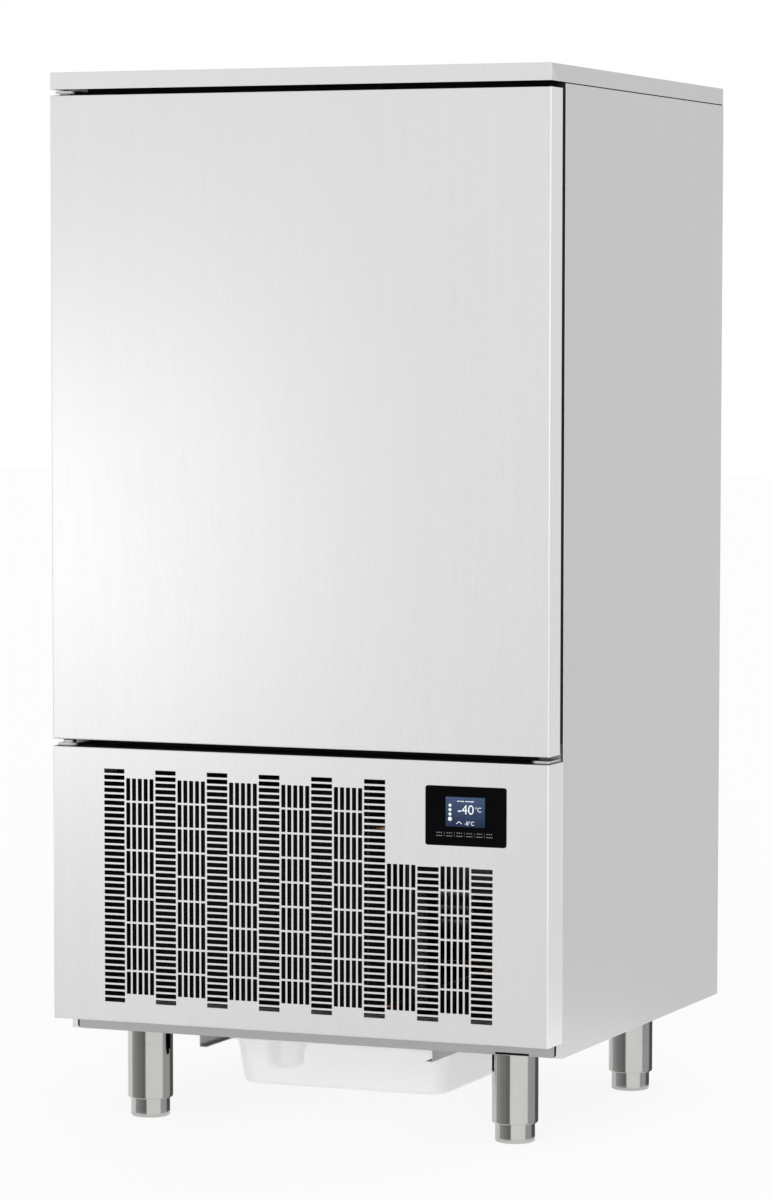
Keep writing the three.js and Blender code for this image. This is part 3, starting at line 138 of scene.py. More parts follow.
def rounded(
    corners: Sequence[Point], bend: float, steps: int = 6, most: float = 0.45
) -> list[Vector]:
    """Gives a broken line round bends.

    Args:
        corners: The points where the line would turn sharply, its ends included.
        bend: How far before and after a corner the line leaves its straight.
        steps: Points on each bend.
        most: The largest share of a straight that a bend takes.

    Returns:
        The line's points, with every inner corner rounded off.
    """
    points = [Vector(corner) for corner in corners]
    line = [points[0]]
    for before, corner, after in zip(points, points[1:], points[2:]):
        back, ahead = before - corner, after - corner
        reach = min(bend, back.length * most, ahead.length * most)
        start, end = corner + back.normalized() * reach, corner + ahead.normalized() * reach
        for step in range(steps + 1):
            share = step / steps
            line.append(start.lerp(corner, share).lerp(corner.lerp(end, share), share))
    return [*line, points[-1]]


def turned(*parts: tuple[float, Outline], up: float = 1.0) -> list[Point]:
    """An outline for the lathe, from outlines in millimetres.

    Args:
        parts: A level, and radius and height above that level of the points that hang on it.
        up: -1 for a piece that stands on its head.

    Returns:
        Radius and level of each point.
    """
    points = ((level, point) for level, part in parts for point in part)
    return [(radius * MM, level + up * height * MM) for level, (radius, height) in points]


def bulge(start: Point, end: Point, steps: int, rising: bool) -> list[Point]:
    """A quarter of an ellipse.

    Args:
        start: Radius and level of its first point.
        end: Radius and level of its last point.
        steps: Facets.
        rising: Whether it is upright where it starts, or else where it ends.

    Returns:
        Radius and level of its points.
    """
    (inner, low), (outer, high), line = start, end, []
    for turn in (step / steps * QUARTER_TURN for step in range(steps + 1)):
        sine, cosine = math.sin(turn), math.cos(turn)
        if rising:
            line.append((outer + (inner - outer) * cosine, low + (high - low) * sine))
        else:
            line.append((inner + (outer - inner) * sine, high - (high - low) * cosine))
    return line


class Bench:
    """The modelling bench: each method is a move made by hand with Blender's operators."""

    def pick(self, *pieces: Piece) -> None:
        """Selects pieces.

        Args:
            pieces: All that is selected afterwards; the first is the active one.
        """
        bpy.ops.object.select_all(action="DESELECT")
        for piece in pieces:
            piece.select_set(True)
        bpy.context.view_layer.objects.active = pieces[0]

    def settle(self, piece: Piece) -> Piece:
        """Moves a piece's place, turn and scale into its mesh.

        Args:
            piece: The piece.

        Returns:
            The same piece.
        """
        self.pick(piece)
        bpy.ops.object.transform_apply(location=True, rotation=True, scale=True)
        return piece

    def added(self, name: str) -> Piece:
        """Names the piece that was just added, and hands it over."""
        bpy.context.object.name = name
        return bpy.context.object

    def block(
        self, name: str, low: Point, high: Point, edge: float = 0.0, segments: int = 2
    ) -> Piece:
        """A bar of stock, from which a piece is shaped.

        Args:
            name: Its name.
            low: Its lowest corner.
            high: Its highest corner.
            edge: How far its edges are broken, if at all.
            segments: Facets of each edge.

        Returns:
            The bar.
        """
        bpy.ops.object.select_all(action="DESELECT")
        low, high = Vector(low), Vector(high)
        bpy.ops.mesh.primitive_cube_add(size=1, location=(low + high) / 2)
        piece = self.added(name)
        piece.scale = high - low
        self.settle(piece)
        if edge:
            self.soften(piece, edge, segments)
        return piece

    def end_plates(self, box: Box, places: Point, plate: float, edge: float) -> list[Piece]:
        """The two plates that hold a coil.

        Args:
            box: The coil's room.
            places: Where the left faces are.
            plate: Thickness.
            edge: How far the edges are broken.

        Returns:
            The plates.
        """
        (_, front, foot), (_, back, top) = box.low, box.high
        spans = [((x, front, foot), (x + plate, back, top)) for x in places]
        return [self.block("end", low, high, edge) for low, high in spans]

    def faces(self, piece: Piece, test: Test) -> None:
        """Goes into edit mode with some faces selected.

        Args:
            piece: The piece.
            test: Passes the faces by their middle and normal.
        """
        net = self._edit(piece, "FACE")
        for face in net.faces:
            face.select_set(test(face.calc_center_median(), face.normal))
        bmesh.update_edit_mesh(piece.data)

    def edges(self, piece: Piece, test: Test) -> None:
        """Goes into edit mode with some edges selected.

        Args:
            piece: The piece.
            test: Passes the edges by their two ends.
        """
        net = self._edit(piece, "EDGE")
        for edge in net.edges:
            edge.select_set(test(edge.verts[0].co, edge.verts[1].co))
        bmesh.update_edit_mesh(piece.data)

    def whole(self, piece: Piece) -> None:
        """Goes into edit mode with everything selected."""
        self._edit(piece, "FACE")
        bpy.ops.mesh.select_all(action="SELECT")

    def _edit(self, piece: Piece, kind: str) -> bmesh.types.BMesh:
        """Goes into edit mode with nothing selected.

        Args:
            piece: The piece.
            kind: What is picked in this mode.

        Returns:
            The piece's mesh.
        """
        self.pick(piece)
        bpy.ops.object.mode_set(mode="EDIT")
        bpy.ops.mesh.select_mode(type=kind)
        bpy.ops.mesh.select_all(action="DESELECT")
        return bmesh.from_edit_mesh(piece.data)

    def done(self) -> None:
        """Leaves edit mode."""
        bpy.ops.object.mode_set(mode="OBJECT")

    def round_off(self, piece: Piece, radius: float, test: Test, segments: int = 3) -> None:
        """Rounds some of a piece's edges.

        Args:
            piece: The piece.
            radius: How far the round reaches.
            test: Passes the edges by their two ends.
            segments: Facets of the round.
        """
        self.edges(piece, test)
        bpy.ops.mesh.bevel(offset=radius, segments=segments, affect="EDGES")
        self.done()

    def draw_out(self, step: Point) -> None:
        """Extrudes what is selected by a step."""
        bpy.ops.mesh.extrude_region_move(TRANSFORM_OT_translate={"value": step})

    def spread(self, share: Point, middle: Point) -> None:
        """Scales what is selected about a point."""
        bpy.ops.transform.resize(value=share, center_override=middle)

    def open_side(self, piece: Piece, direction: Point) -> None:
        """Takes away some of a piece's faces.

        Args:
            piece: The piece.
            direction: Where these faces look.
        """
        self.faces(piece, facing(direction))
        bpy.ops.mesh.delete(type="FACE")
        self.done()

    def modify(self, piece: Piece, kind: str, **settings: object) -> Piece:
        """Adds a modifier and applies it.

        Args:
            piece: The piece.
            kind: The modifier's type.
            settings: The modifier's settings.

        Returns:
            The same piece.
        """
        modifier = piece.modifiers.new(kind.lower(), kind)
        for key, value in settings.items():
            setattr(modifier, key, value)
        self.pick(piece)
        bpy.ops.object.modifier_apply(modifier=modifier.name)
        return piece

    def thicken(self, piece: Piece, sheet: float) -> None:
        """Gives a skin the thickness of its sheet, which goes inwards."""
        self.modify(piece, "SOLIDIFY", thickness=sheet, offset=-1, use_even_offset=True)

    def repeat(self, piece: Piece, count: int, step: Point) -> Piece:
        """Repeats a piece in a row."""
        how = {"use_relative_offset": False, "use_constant_offset": True}
        return self.modify(piece, "ARRAY", count=count, constant_offset_displace=step, **how)

    def join(self, piece: Piece, *others: Piece) -> Piece:
        """Makes several meshes one piece.

        Args:
            piece: The mesh that takes the others in.
            others: The others, if any.

        Returns:
            The first piece.
        """
        if others:
            self.pick(piece, *others)
            bpy.ops.object.join()
        return piece

    def cut(self, piece: Piece, *tools: Piece) -> None:
        """Cuts shapes out of a piece and puts them away."""
        self._boolean(piece, "DIFFERENCE", self.join(*tools))

    def fuse(self, piece: Piece, other: Piece) -> None:
        """Joins another solid to a piece, as if welded."""
        self._boolean(piece, "UNION", other)

    def _boolean(self, piece: Piece, operation: str, tool: Piece) -> None:
        """Works on a piece with another solid, which goes away."""
        self.modify(piece, "BOOLEAN", operation=operation, object=tool, solver="EXACT")
        bpy.data.objects.remove(tool)

    def soften(self, piece: Piece, radius: float, segments: int = 2) -> None:
        """Breaks every sharp edge, and keeps the large faces flat in the light."""
        sharp = {"limit_method": "ANGLE", "angle_limit": math.radians(35)}
        self.smooth(self.modify(piece, "BEVEL", width=radius, segments=segments, **sharp))

    def smooth(self, piece: Piece, angle: float = 40) -> None:
        """Shades a piece smoothly, apart from its sharp edges.

        Args:
            piece: The piece.
            angle: The sharpest edge that is smooth, in degrees.
        """
        self.pick(piece)
        bpy.ops.object.shade_smooth_by_angle(angle=math.radians(angle))
        self.modify(piece, "WEIGHTED_NORMAL", keep_sharp=True)

    def tub(
        self, name: str, low: Point, high: Point, mouth: Point, fold: Point, sheet: float
    ) -> Piece:
        """A folded box that is open on one side, round at every edge but its rim's.

        Args:
            name: Its name.
            low: Its lowest corner.
            high: Its highest corner.
            mouth: Where its open side looks.
            fold: The radius of its edges, and the facets of each.
            sheet: Thickness, which goes inwards.

        Returns:
            The box.
        """
        tub = self.block(name, low, high)
        self.open_side(tub, mouth)
        out, (radius, segments) = Vector(mouth), fold
        rim = max(out.dot(Vector(low)), out.dot(Vector(high))) - MM
        self.round_off(tub, radius, lambda a, b: min(out.dot(a), out.dot(b)) < rim, segments)
        self.thicken(tub, sheet)
        return tub

    def wire(self, name: str, points: Sequence[Point]) -> Piece:
        """A line of points joined by edges, which is left in edit mode, all selected.

        Args:
            name: Its name.
            points: The points.

        Returns:
            The line.
        """
        bpy.ops.object.select_all(action="DESELECT")
        bpy.ops.mesh.primitive_plane_add(size=MM)
        piece = self.added(name)
        bpy.ops.object.mode_set(mode="EDIT")
        bpy.ops.mesh.select_mode(type="VERT")
        bpy.ops.mesh.select_all(action="SELECT")
        bpy.ops.mesh.merge(type="CENTER")
        bpy.ops.transform.translate(value=points[0])
        for before, after in zip(points, points[1:]):
            step = Vector(after) - Vector(before)
            bpy.ops.mesh.extrude_vertices_move(TRANSFORM_OT_translate={"value": step})
        bpy.ops.mesh.select_all(action="SELECT")
        return piece

    def lathe(
        self,
        name: str,
        profile: Sequence[Point],
        centre: Point,
        axis: Axis = Axis.Z,
        steps: int = 48,
    ) -> Piece:
        """A turned piece.

        Args:
            name: Its name.
            profile: Radius and place along the axis of each point of its outline.
            centre: A point that the axis goes through.
            axis: The axis that it is turned about.
            steps: Facets round it.

        Returns:
            The piece, smooth but for its sharp edges.
        """
        piece = self.wire(name, [(radius, 0, height) for radius, height in profile])
        bpy.ops.mesh.spin(steps=steps, angle=FULL_TURN, center=(0, 0, 0), axis=(0, 0, 1))
        bpy.ops.mesh.select_all(action="SELECT")
        bpy.ops.mesh.remove_doubles(threshold=1e-6)
        bpy.ops.mesh.normals_make_consistent(inside=False)
        self.done()
        place = Vector(centre)
        place[axis.value] = 0
        piece.location = place
        turns = ((0, QUARTER_TURN, 0), (-QUARTER_TURN, 0, 0), (0, 0, 0))
        piece.rotation_euler = turns[axis.value]
        self.smooth(self.settle(piece))
        return piece

    def rod(
        self, name: str, radius: float, span: Point, centre: Point, axis: Axis, steps: int = 32
    ) -> Piece:
        """A round bar.

        Args:
            name: Its name.
            radius: Its radius.
            span: Where it starts and ends along its axis.
            centre: A point that the axis goes through.
            axis: The direction that it lies in.
            steps: Facets round it.

        Returns:
            The bar.
        """
        outline = [(0, span[0]), (radius, span[0]), (radius, span[1]), (0, span[1])]
        return self.lathe(name, outline, centre, axis, steps)

    def folded(
        self, name: str, outline: Sequence[Point], rise: Point, sheet: float, outwards: Point
    ) -> Piece:
        """Sheet metal folded along an outline.

        Args:
            name: Its name.
            outline: The outer line of the fold.
            rise: How far and where the outline is drawn out into a sheet.
            sheet: Thickness, which goes inwards.
            outwards: A direction that the outer face looks towards on the whole.

        Returns:
            The folded sheet.
        """
        piece = self.wire(name, outline)
        self.draw_out(rise)
        self.done()
        total = sum((face.normal * face.area for face in piece.data.polygons), Vector())
        if total.dot(Vector(outwards)) < 0:
            self.flip(piece)
        self.thicken(piece, sheet)
        self.smooth(piece)
        return piece

    def flip(self, piece: Piece) -> None:
        """Turns a skin's faces over.

        Args:
            piece: The skin.
        """
        self.whole(piece)
        bpy.ops.mesh.flip_normals()
        self.done()

    def tube(self, name: str, corners: Sequence[Point], radius: float, bend: float) -> Piece:
        """A round tube with bends at its corners.

        Args:
            name: Its name.
            corners: The points where it would turn sharply, its ends included.
            radius: Its radius.
            bend: How far before and after a corner it leaves its straight.

        Returns:
            The tube.
        """
        piece = self.wire(name, rounded(corners, bend))
        self.done()
        self.pick(piece)
        bpy.ops.object.convert(target="CURVE")
        curve = bpy.context.object.data
        curve.bevel_depth, curve.bevel_resolution, curve.use_fill_caps = radius, 2, True
        bpy.ops.object.convert(target="MESH")
        piece = bpy.context.object
        self.pick(piece)
        bpy.ops.object.shade_smooth_by_angle(angle=math.radians(50))
        return piece

    def copy(
        self,
        piece: Piece,
        name: str,
        offset: Point = (0, 0, 0),
        turn: float = 0.0,
        about: Point = (0, 0, 0),
        axis: Point = (0, 1, 0),
    ) -> Piece:
        """A copy with its own mesh, turned about a point and moved.

        Args:
            piece: The original.
            name: The copy's name.
            offset: How far it is moved.
            turn: How far it is turned.
            about: A point of the line that it is turned about.
            axis: The direction of that line.

        Returns:
            The copy.
        """
        self.pick(piece)
        bpy.ops.object.duplicate(linked=False)
        twin = self.added(name)
        pivot = Matrix.Translation(Vector(about))
        swing = Matrix.Rotation(turn, 4, Vector(axis))
        twin.matrix_world = Matrix.Translation(Vector(offset)) @ pivot @ swing @ pivot.inverted()
        return self.settle(twin)

    def mirror(self, piece: Piece, name: str) -> Piece:
        """The same piece for the other side of the cabinet.

        Args:
            piece: The original.
            name: The copy's name.

        Returns:
            The copy.
        """
        twin = self.copy(piece, name)
        twin.scale = (-1, 1, 1)
        self.whole(self.settle(twin))
        bpy.ops.mesh.normals_make_consistent(inside=False)
        self.done()
        return twin

    def lettering(self, name: str, words: str, size: float, place: Point, thick: float) -> Piece:
        """Figures that face the front.

        Args:
            name: Its name.
            words: The figures.
            size: Their type size.
            place: The lower left corner, at the front of what carries them.
            thick: How far they stand out.

        Returns:
            The figures as a mesh.
        """
        bpy.ops.object.select_all(action="DESELECT")
        bpy.ops.object.text_add()
        letters = self.added(name).data
        letters.body, letters.size, letters.extrude = words, size, thick / 2
        bpy.ops.object.convert(target="MESH")
        piece = bpy.context.object
        piece.rotation_euler = (QUARTER_TURN, 0, 0)
        piece.location = Vector(place) - Vector((0, thick / 2, 0))
        return self.settle(piece)


# ------------------------------------------------------------------------------ finishes


Number = Union["Value", float]
Colour = tuple[float, float, float]
BLACK = (0.01, 0.01, 0.01)
NOWHERE = 9.0


def _operator(operation: str, swapped: bool = False) -> Callable[["Value", Number], "Value"]:
    """Makes one of the operators of a shader's numbers.

    Args:
        operation: What the Math node does.
        swapped: Whether the other number comes first.

    Returns:
        The operator.
    """

    def act(self: "Value", other: Number) -> "Value":
        """Adds the Math node."""
        terms = (other, self) if swapped else (self, other)
        return self.graph.node("ShaderNodeMath", {"operation": operation}, dict(enumerate(terms)))

    return act


class Value:
    """A number in a shader. Python's operators on it add Math nodes."""

    def __init__(self, graph: "Graph", socket: bpy.types.NodeSocket) -> None:
        """Keeps the node tree, and the socket that hands the number on."""
        self.graph, self.socket = graph, socket

    __add__, __radd__ = _operator("ADD"), _operator("ADD", True)
    __sub__, __rsub__ = _operator("SUBTRACT"), _operator("SUBTRACT", True)
    __mul__, __rmul__ = _operator("MULTIPLY"), _operator("MULTIPLY", True)
    larger, above = _operator("MAXIMUM"), _operator("GREATER_THAN")


class Graph:
    """A node tree that is written as expressions."""

    def __init__(self, tree: bpy.types.NodeTree) -> None:
        """Keeps the tree."""
        self.tree = tree

    def node(
        self,
        kind: str,
        settings: Optional[dict[str, object]] = None,
        inputs: Optional[dict[Union[str, int], object]] = None,
        output: Union[str, int] = 0,
    ) -> Value:
        """Adds a node.

        Args:
            kind: The node's type.
            settings: Its settings.
            inputs: Numbers, colours or links for its sockets.
            output: The socket that is handed back.

        Returns:
            The output as a value.
        """
        made = self.tree.nodes.new(kind)
        for key, value in (settings or {}).items():
            setattr(made, key, value)
        for key, value in (inputs or {}).items():
            self.feed(made.inputs[key], value)
        return Value(self, made.outputs[output])

    def feed(self, socket: bpy.types.NodeSocket, value: object) -> None:
        """Links a value to a socket, or sets the socket.

        Args:
            socket: A node's input.
            value: What goes to it: a value of this graph, or a plain number or colour.
        """
        if isinstance(value, Value):
            self.tree.links.new(value.socket, socket)
        elif isinstance(value, tuple) and len(value) == 3 and len(socket.default_value) == 4:
            socket.default_value = (*value, 1)
        else:
            socket.default_value = value

    def place(self) -> Value:
        """A point's place on the object."""
        return self.node("ShaderNodeTexCoord", output="Object")

    def along(self, axis: Axis) -> Value:
        """One coordinate of a point's place."""
        return self.node("ShaderNodeSeparateXYZ", inputs={0: self.place()}, output=axis.value)

    def noise(self, stretch: Point, detail: float = 2.0, shift: float = 0.0) -> Value:
        """Noise between 0 and 1.

        Args:
            stretch: Its scale along each axis, in cells per metre.
            detail: How much finer noise it has on top.
            shift: Moves the noise, so that two of them differ.

        Returns:
            The noise.
        """
        inputs = {"Vector": self.place(), "Location": (shift,) * 3, "Scale": tuple(stretch)}
        inputs = {"Vector": self.node("ShaderNodeMapping", inputs=inputs)}
        return self.node("ShaderNodeTexNoise", inputs={**inputs, "Scale": 1.0, "Detail": detail})

    def cells(self, scale: float, output: str) -> Value:
        """Irregular cells, so many per metre."""
        inputs = {"Vector": self.place(), "Scale": scale}
        return self.node("ShaderNodeTexVoronoi", inputs=inputs, output=output)

    def mix(self, share: Number, first: object, second: object) -> Value:
        """A colour between two colours."""
        inputs = {0: share, 6: first, 7: second}
        return self.node("ShaderNodeMix", {"data_type": "RGBA"}, inputs, output=2)

    def bump(self, height: Value, depth: float, strength: float = 1.0) -> Value:
        """A surface normal with a fine relief, as deep as given in metres."""
        inputs = {"Height": height, "Distance": depth, "Strength": strength}
        return self.node("ShaderNodeBump", inputs=inputs, output="Normal")


def shade(colour: Colour, factor: float) -> Colour:
    """A colour made lighter or darker."""
    return tuple(min(1.0, part * factor) for part in colour)


@lru_cache(maxsize=None)
def material_of(finish: "Finish") -> bpy.types.Material:
    """Makes a finish's material the first time that it is asked for.

    Args:
        finish: The finish.

    Returns:
        Its material.
    """
    material = bpy.data.materials.new(finish.name)
    material.use_nodes = True
    shader = material.node_tree.nodes["Principled BSDF"]
    graph = Graph(material.node_tree)
    for socket, value in finish.surface(graph).items():
        graph.feed(shader.inputs[socket], value)
    return material


@dataclass(frozen=True)
class Finish:
    """What a piece is made of. Each kind says what goes to the shader's sockets."""

    name: str
    slot: str
    colour: Colour
    roughness: float

    def surface(self, graph: Graph) -> dict[str, object]:
        """What the surface is like.

        Args:
            graph: The material's node tree.

        Returns:
            Values and links for the shader's sockets, by their names.
        """
        raise NotImplementedError

    def toned(self, graph: Graph, tone: Number, dark: float = 0.8, light: float = 1.2) -> Value:
        """The finish's colour, from darker at a tone of 0 to lighter at 1."""
        return graph.mix(tone, shade(self.colour, dark), shade(self.colour, light))


@dataclass(frozen=True)
class BrushedMetal(Finish):
    """Sheet metal with a grain."""

    across: Point = (1.0, 1.0, 0.0)
    streaks: float = 0.1
    clouds: float = 0.1

    def surface(self, graph: Graph) -> dict[str, object]:
        """Fine lines along the grain, wider bands with it, and clouds of handling.

        Args:
            graph: The node tree.

        Returns:
            What goes to the sockets.
        """
        fine = graph.noise([12 + 1500 * part for part in self.across], 3)
        bands = graph.noise([0.7 + 45 * part for part in self.across], 3, 0.37)
        clouds = graph.noise((3.0, 3.0, 1.6), 2, 5.1)
        tone = 0.5 + (fine - 0.5) * self.streaks + (bands - 0.5) * self.streaks
        tone = tone + (clouds - 0.5) * self.clouds
        return {
            "Base Color": self.toned(graph, tone),
            "Metallic": 1.0,
            "Roughness": self.roughness + (fine - 0.5) * 0.1 + (clouds - 0.5) * 0.06,
            "Normal": graph.bump(fine, 0.01 * MM, 0.3),
        }


@dataclass(frozen=True)
class ShadeAndHighlightMetal(BrushedMetal):
    """Sheet metal whose hidden returns are painted black: painted shade in the gaps round them.

    The painted shade starts behind the plane y = behind and within x = inner, and is above the
    level
    of one return and below that of the other. The sides, beyond x = flank, are painted lighter:
    a painted highlight.
    """

    # The returns between behind, above, below and inner get the painted shade; beyond flank, the
    # painted highlight.
    behind: float = 0.0
    above: float = NOWHERE
    below: float = -NOWHERE
    flank: float = NOWHERE
    inner: float = NOWHERE
    painted_highlight: float = 1.31

    def surface(self, graph: Graph) -> dict[str, object]:
        """The bare sheet, its sides with a painted highlight, and the painted shade over the
        returns.

        Args:
            graph: The node tree.

        Returns:
            What goes to the sockets.
        """
        bare = super().surface(graph)
        x, y, z = (graph.along(axis) for axis in Axis)
        # Painted highlight: the sides are made lighter, as if more light fell on them.
        bright = shade(self.colour, self.painted_highlight)
        highlighted = graph.mix(x.above(self.flank), bare["Base Color"], bright)
        # Painted shade: the returns are black where the gaps round the sheet lie in shade.
        ends = z.above(self.above) + (self.below - z).above(0.0)
        with_painted_shade = ends * y.above(self.behind) * (self.inner - x.larger(0.0 - x)).above(0.0)
        return {
            **bare,
            "Base Color": graph.mix(with_painted_shade, highlighted, BLACK),
            "Metallic": 1.0 - with_painted_shade,
            "Roughness": bare["Roughness"] + with_painted_shade * 0.4,
        }


@dataclass(frozen=True)
class FlapHighlightMetal(BrushedMetal):
    """Sheet metal with a corner flap that is painted lighter: a painted highlight where the flap
    catches the light.
    """

    corner: Point = (0.0, 0.0)
    drop: float = 0.0
    flank: float = NOWHERE
    highlight_width: float = 2.2 * MM
    painted_highlight: float = 1.25

    def surface(self, graph: Graph) -> dict[str, object]:
        """The bare sheet, the flap in front of its slanting edge, and a brighter line along that
        edge: both painted highlights.

        Args:
            graph: The node tree.

        Returns:
            What goes to the sockets.
        """
        bare = super().surface(graph)
        x, y, z = (graph.along(axis) for axis in Axis)
        # Painted highlight: the flap is lighter, and a line along its slanting edge lighter still.
        past = (y - self.corner[0]) + (z - self.corner[1]) - self.drop
        flap = x.above(self.flank) * (0.0 - past).above(0.0)
        line = flap * (past + self.highlight_width).above(0.0)
        bright = shade(self.colour, self.painted_highlight)
        colour = graph.mix(flap * 0.4 + line * 0.6, bare["Base Color"], bright)
        return {**bare, "Base Color": colour}


@dataclass(frozen=True)
class TurnedMetal(Finish):
    """Machined or drawn metal, with faint rings."""

    def surface(self, graph: Graph) -> dict[str, object]:
        """Rings along the height and a slow change of tone.

        Args:
            graph: The node tree.

        Returns:
            What goes to the sockets.
        """
        rings = graph.noise((6.0, 6.0, 900.0), 2)
        clouds = graph.noise((25.0, 25.0, 12.0), 3, 2.2)
        return {
            "Base Color": self.toned(graph, 0.5 + (rings - 0.5) * 0.3 + (clouds - 0.5) * 0.5),
            "Metallic": 1.0,
            "Roughness": self.roughness + (rings - 0.5) * 0.08,
            "Normal": graph.bump(rings, 0.01 * MM, 0.4),
        }


@dataclass(frozen=True)
class SpangledZinc(Finish):
    """Hot-dip galvanised sheet."""

    def surface(self, graph: Graph) -> dict[str, object]:
        """Crystals of zinc, each with its own tone and gloss.

        Args:
            graph: The node tree.

        Returns:
            What goes to the sockets.
        """
        cells = graph.cells(140.0, "Color")
        crystal = graph.node("ShaderNodeSeparateColor", inputs={0: cells})
        return {
            "Base Color": self.toned(graph, crystal, 0.82, 1.15),
            "Metallic": 0.9,
            "Roughness": self.roughness + (crystal - 0.5) * 0.16,
        }


@dataclass(frozen=True)
class Moulded(Finish):
    """Plastic, rubber or paint, with a fine texture."""

    grain: float = 1400.0
    relief: float = 0.03 * MM
    coat: float = 0.0
    gloss: float = 0.5

    def surface(self, graph: Graph) -> dict[str, object]:
        """An even grain, and a tone that wanders a little.

        Args:
            graph: The node tree.

        Returns:
            What goes to the sockets.
        """
        grain = graph.noise((self.grain,) * 3, 2)
        clouds = graph.noise((9.0, 9.0, 9.0), 3, 1.4)
        tone = 0.5 + (clouds - 0.5) * 0.14 + (grain - 0.5) * 0.06
        return {
            "Base Color": self.toned(graph, tone, 0.9, 1.1),
            "Roughness": self.roughness + (grain - 0.5) * 0.1,
            "Coat Weight": self.coat,
            "Specular IOR Level": self.gloss,
            "Normal": graph.bump(grain, self.relief, 0.6),
        }


@dataclass(frozen=True)
class ClearPlasticWithPaintedGlow(Moulded):
    """Milky plastic that lets some light through, with a painted glow that keeps it bright in
    shade.
    """

    cover: float = 0.4
    # An even painted glow, though the tray is no lamp.
    glow: float = 0.18

    def surface(self, graph: Graph) -> dict[str, object]:
        """The moulded surface, which covers only a part of what lies behind it, and its painted
        glow.

        Args:
            graph: The node tree.

        Returns:
            What goes to the sockets.
        """
        return {
            **super().surface(graph),
            "Alpha": self.cover,
            # Painted glow: emission that lifts the tray where it lies in shade.
            "Emission Color": self.colour,
            "Emission Strength": self.glow,
        }


@dataclass(frozen=True)
class Glass(Finish):
    """Black glass over the touch keys."""

    gloss: float = 0.03

    def surface(self, graph: Graph) -> dict[str, object]:
        """Deep black with the faint unevenness of finger marks.

        Args:
            graph: The node tree.

        Returns:
            What goes to the sockets.
        """
        marks = graph.noise((35.0, 35.0, 35.0), 4)
        return {
            "Base Color": self.toned(graph, marks),
            "Roughness": self.roughness + (marks - 0.5) * 0.05,
            "Specular IOR Level": self.gloss,
        }


@dataclass(frozen=True)
class Backlit(Finish):
    """A lit display: lighter at its top than at its bottom."""

    low: float = 0.0
    high: float = 1.0
    foot: Colour = (0.0, 0.0, 0.0)
    glow: float = 1.0
    gloss: float = 0.02

    def surface(self, graph: Graph) -> dict[str, object]:
        """Light from behind that fades towards the bottom, with a faint grid of cells.

        Args:
            graph: The node tree.

        Returns:
            What goes to the sockets.
        """
        share = (graph.along(Axis.Z) - self.low) * (1 / (self.high - self.low))
        cells = graph.noise((60.0, 60.0, 40.0), 2)
        return {
            "Base Color": (0.01, 0.01, 0.012),
            "Roughness": self.roughness,
            "Emission Color": graph.mix(share + (cells - 0.5) * 0.3, self.foot, self.colour),
            "Emission Strength": self.glow,
            "Specular IOR Level": self.gloss,
        }


@dataclass(frozen=True)
class Foam(Finish):
    """Foamed insulation between skins, painted black above a level: painted shade in the seam
    under the lid.
    """

    painted_shade: float = NOWHERE

    def surface(self, graph: Graph) -> dict[str, object]:
        """Cells of foam, with pits painted darker as shade, and the painted black above the level.

        Args:
            graph: The node tree.

        Returns:
            What goes to the sockets.
        """
        # Painted shade: darker in the pits of the cells, and black above the level.
        cells = graph.cells(420.0, "Distance")
        painted_shade = graph.along(Axis.Z).above(self.painted_shade)
        return {
            "Base Color": graph.mix(painted_shade, self.toned(graph, cells, light=1.0), BLACK),
            "Roughness": self.roughness,
            "Normal": graph.bump(cells, 0.6 * MM),
        }


GREY_STEEL = (0.71, 0.71, 0.707)
SIDE_GREY = (0.73, 0.73, 0.727)
DULL_GREY = (0.42, 0.42, 0.415)
FOAM_YELLOW = (0.80, 0.68, 0.36)
COLD_WHITE = (0.9, 0.95, 1.0)
FLAT_GREY = (0.74, 0.74, 0.737)
STEEL_FLAT = BrushedMetal("brushed_steel_sides", "stainless", FLAT_GREY, 0.3, streaks=0.07)
DULL_STEEL = BrushedMetal("dull_steel", "stainless", DULL_GREY, 0.36)
DOOR_STEEL = ShadeAndHighlightMetal("door_steel", "stainless", GREY_STEEL, 0.26)
PANEL_STEEL = ShadeAndHighlightMetal("panel_steel", "stainless", GREY_STEEL, 0.26)
PAN_STEEL = ShadeAndHighlightMetal("pan_steel", "stainless", DULL_GREY, 0.36)
# The side sheets' front returns are black above 0.6 m: painted shade in the gap beside the door.
SIDE_STEEL = ShadeAndHighlightMetal(
    "side_steel", "stainless", SIDE_GREY, 0.3, streaks=0.07, behind=-NOWHERE, above=0.6
)
LID_STEEL = FlapHighlightMetal("lid_steel", "stainless", GREY_STEEL, 0.26, streaks=0.05)
CHAMBER = BrushedMetal("chamber_steel", "chamber_steel", (0.78, 0.78, 0.775), 0.32)
BRACKET = BrushedMetal("bracket_steel", "satin_steel", (0.58, 0.58, 0.57), 0.35, (1, 0, 1))
SATIN = TurnedMetal("satin_steel", "satin_steel", (0.62, 0.62, 0.60), 0.16)
ZINC = SpangledZinc("galvanised_sheet", "galvanised", (0.52, 0.54, 0.55), 0.42)
FOAM = Foam("insulating_foam", "foam", FOAM_YELLOW, 0.9)
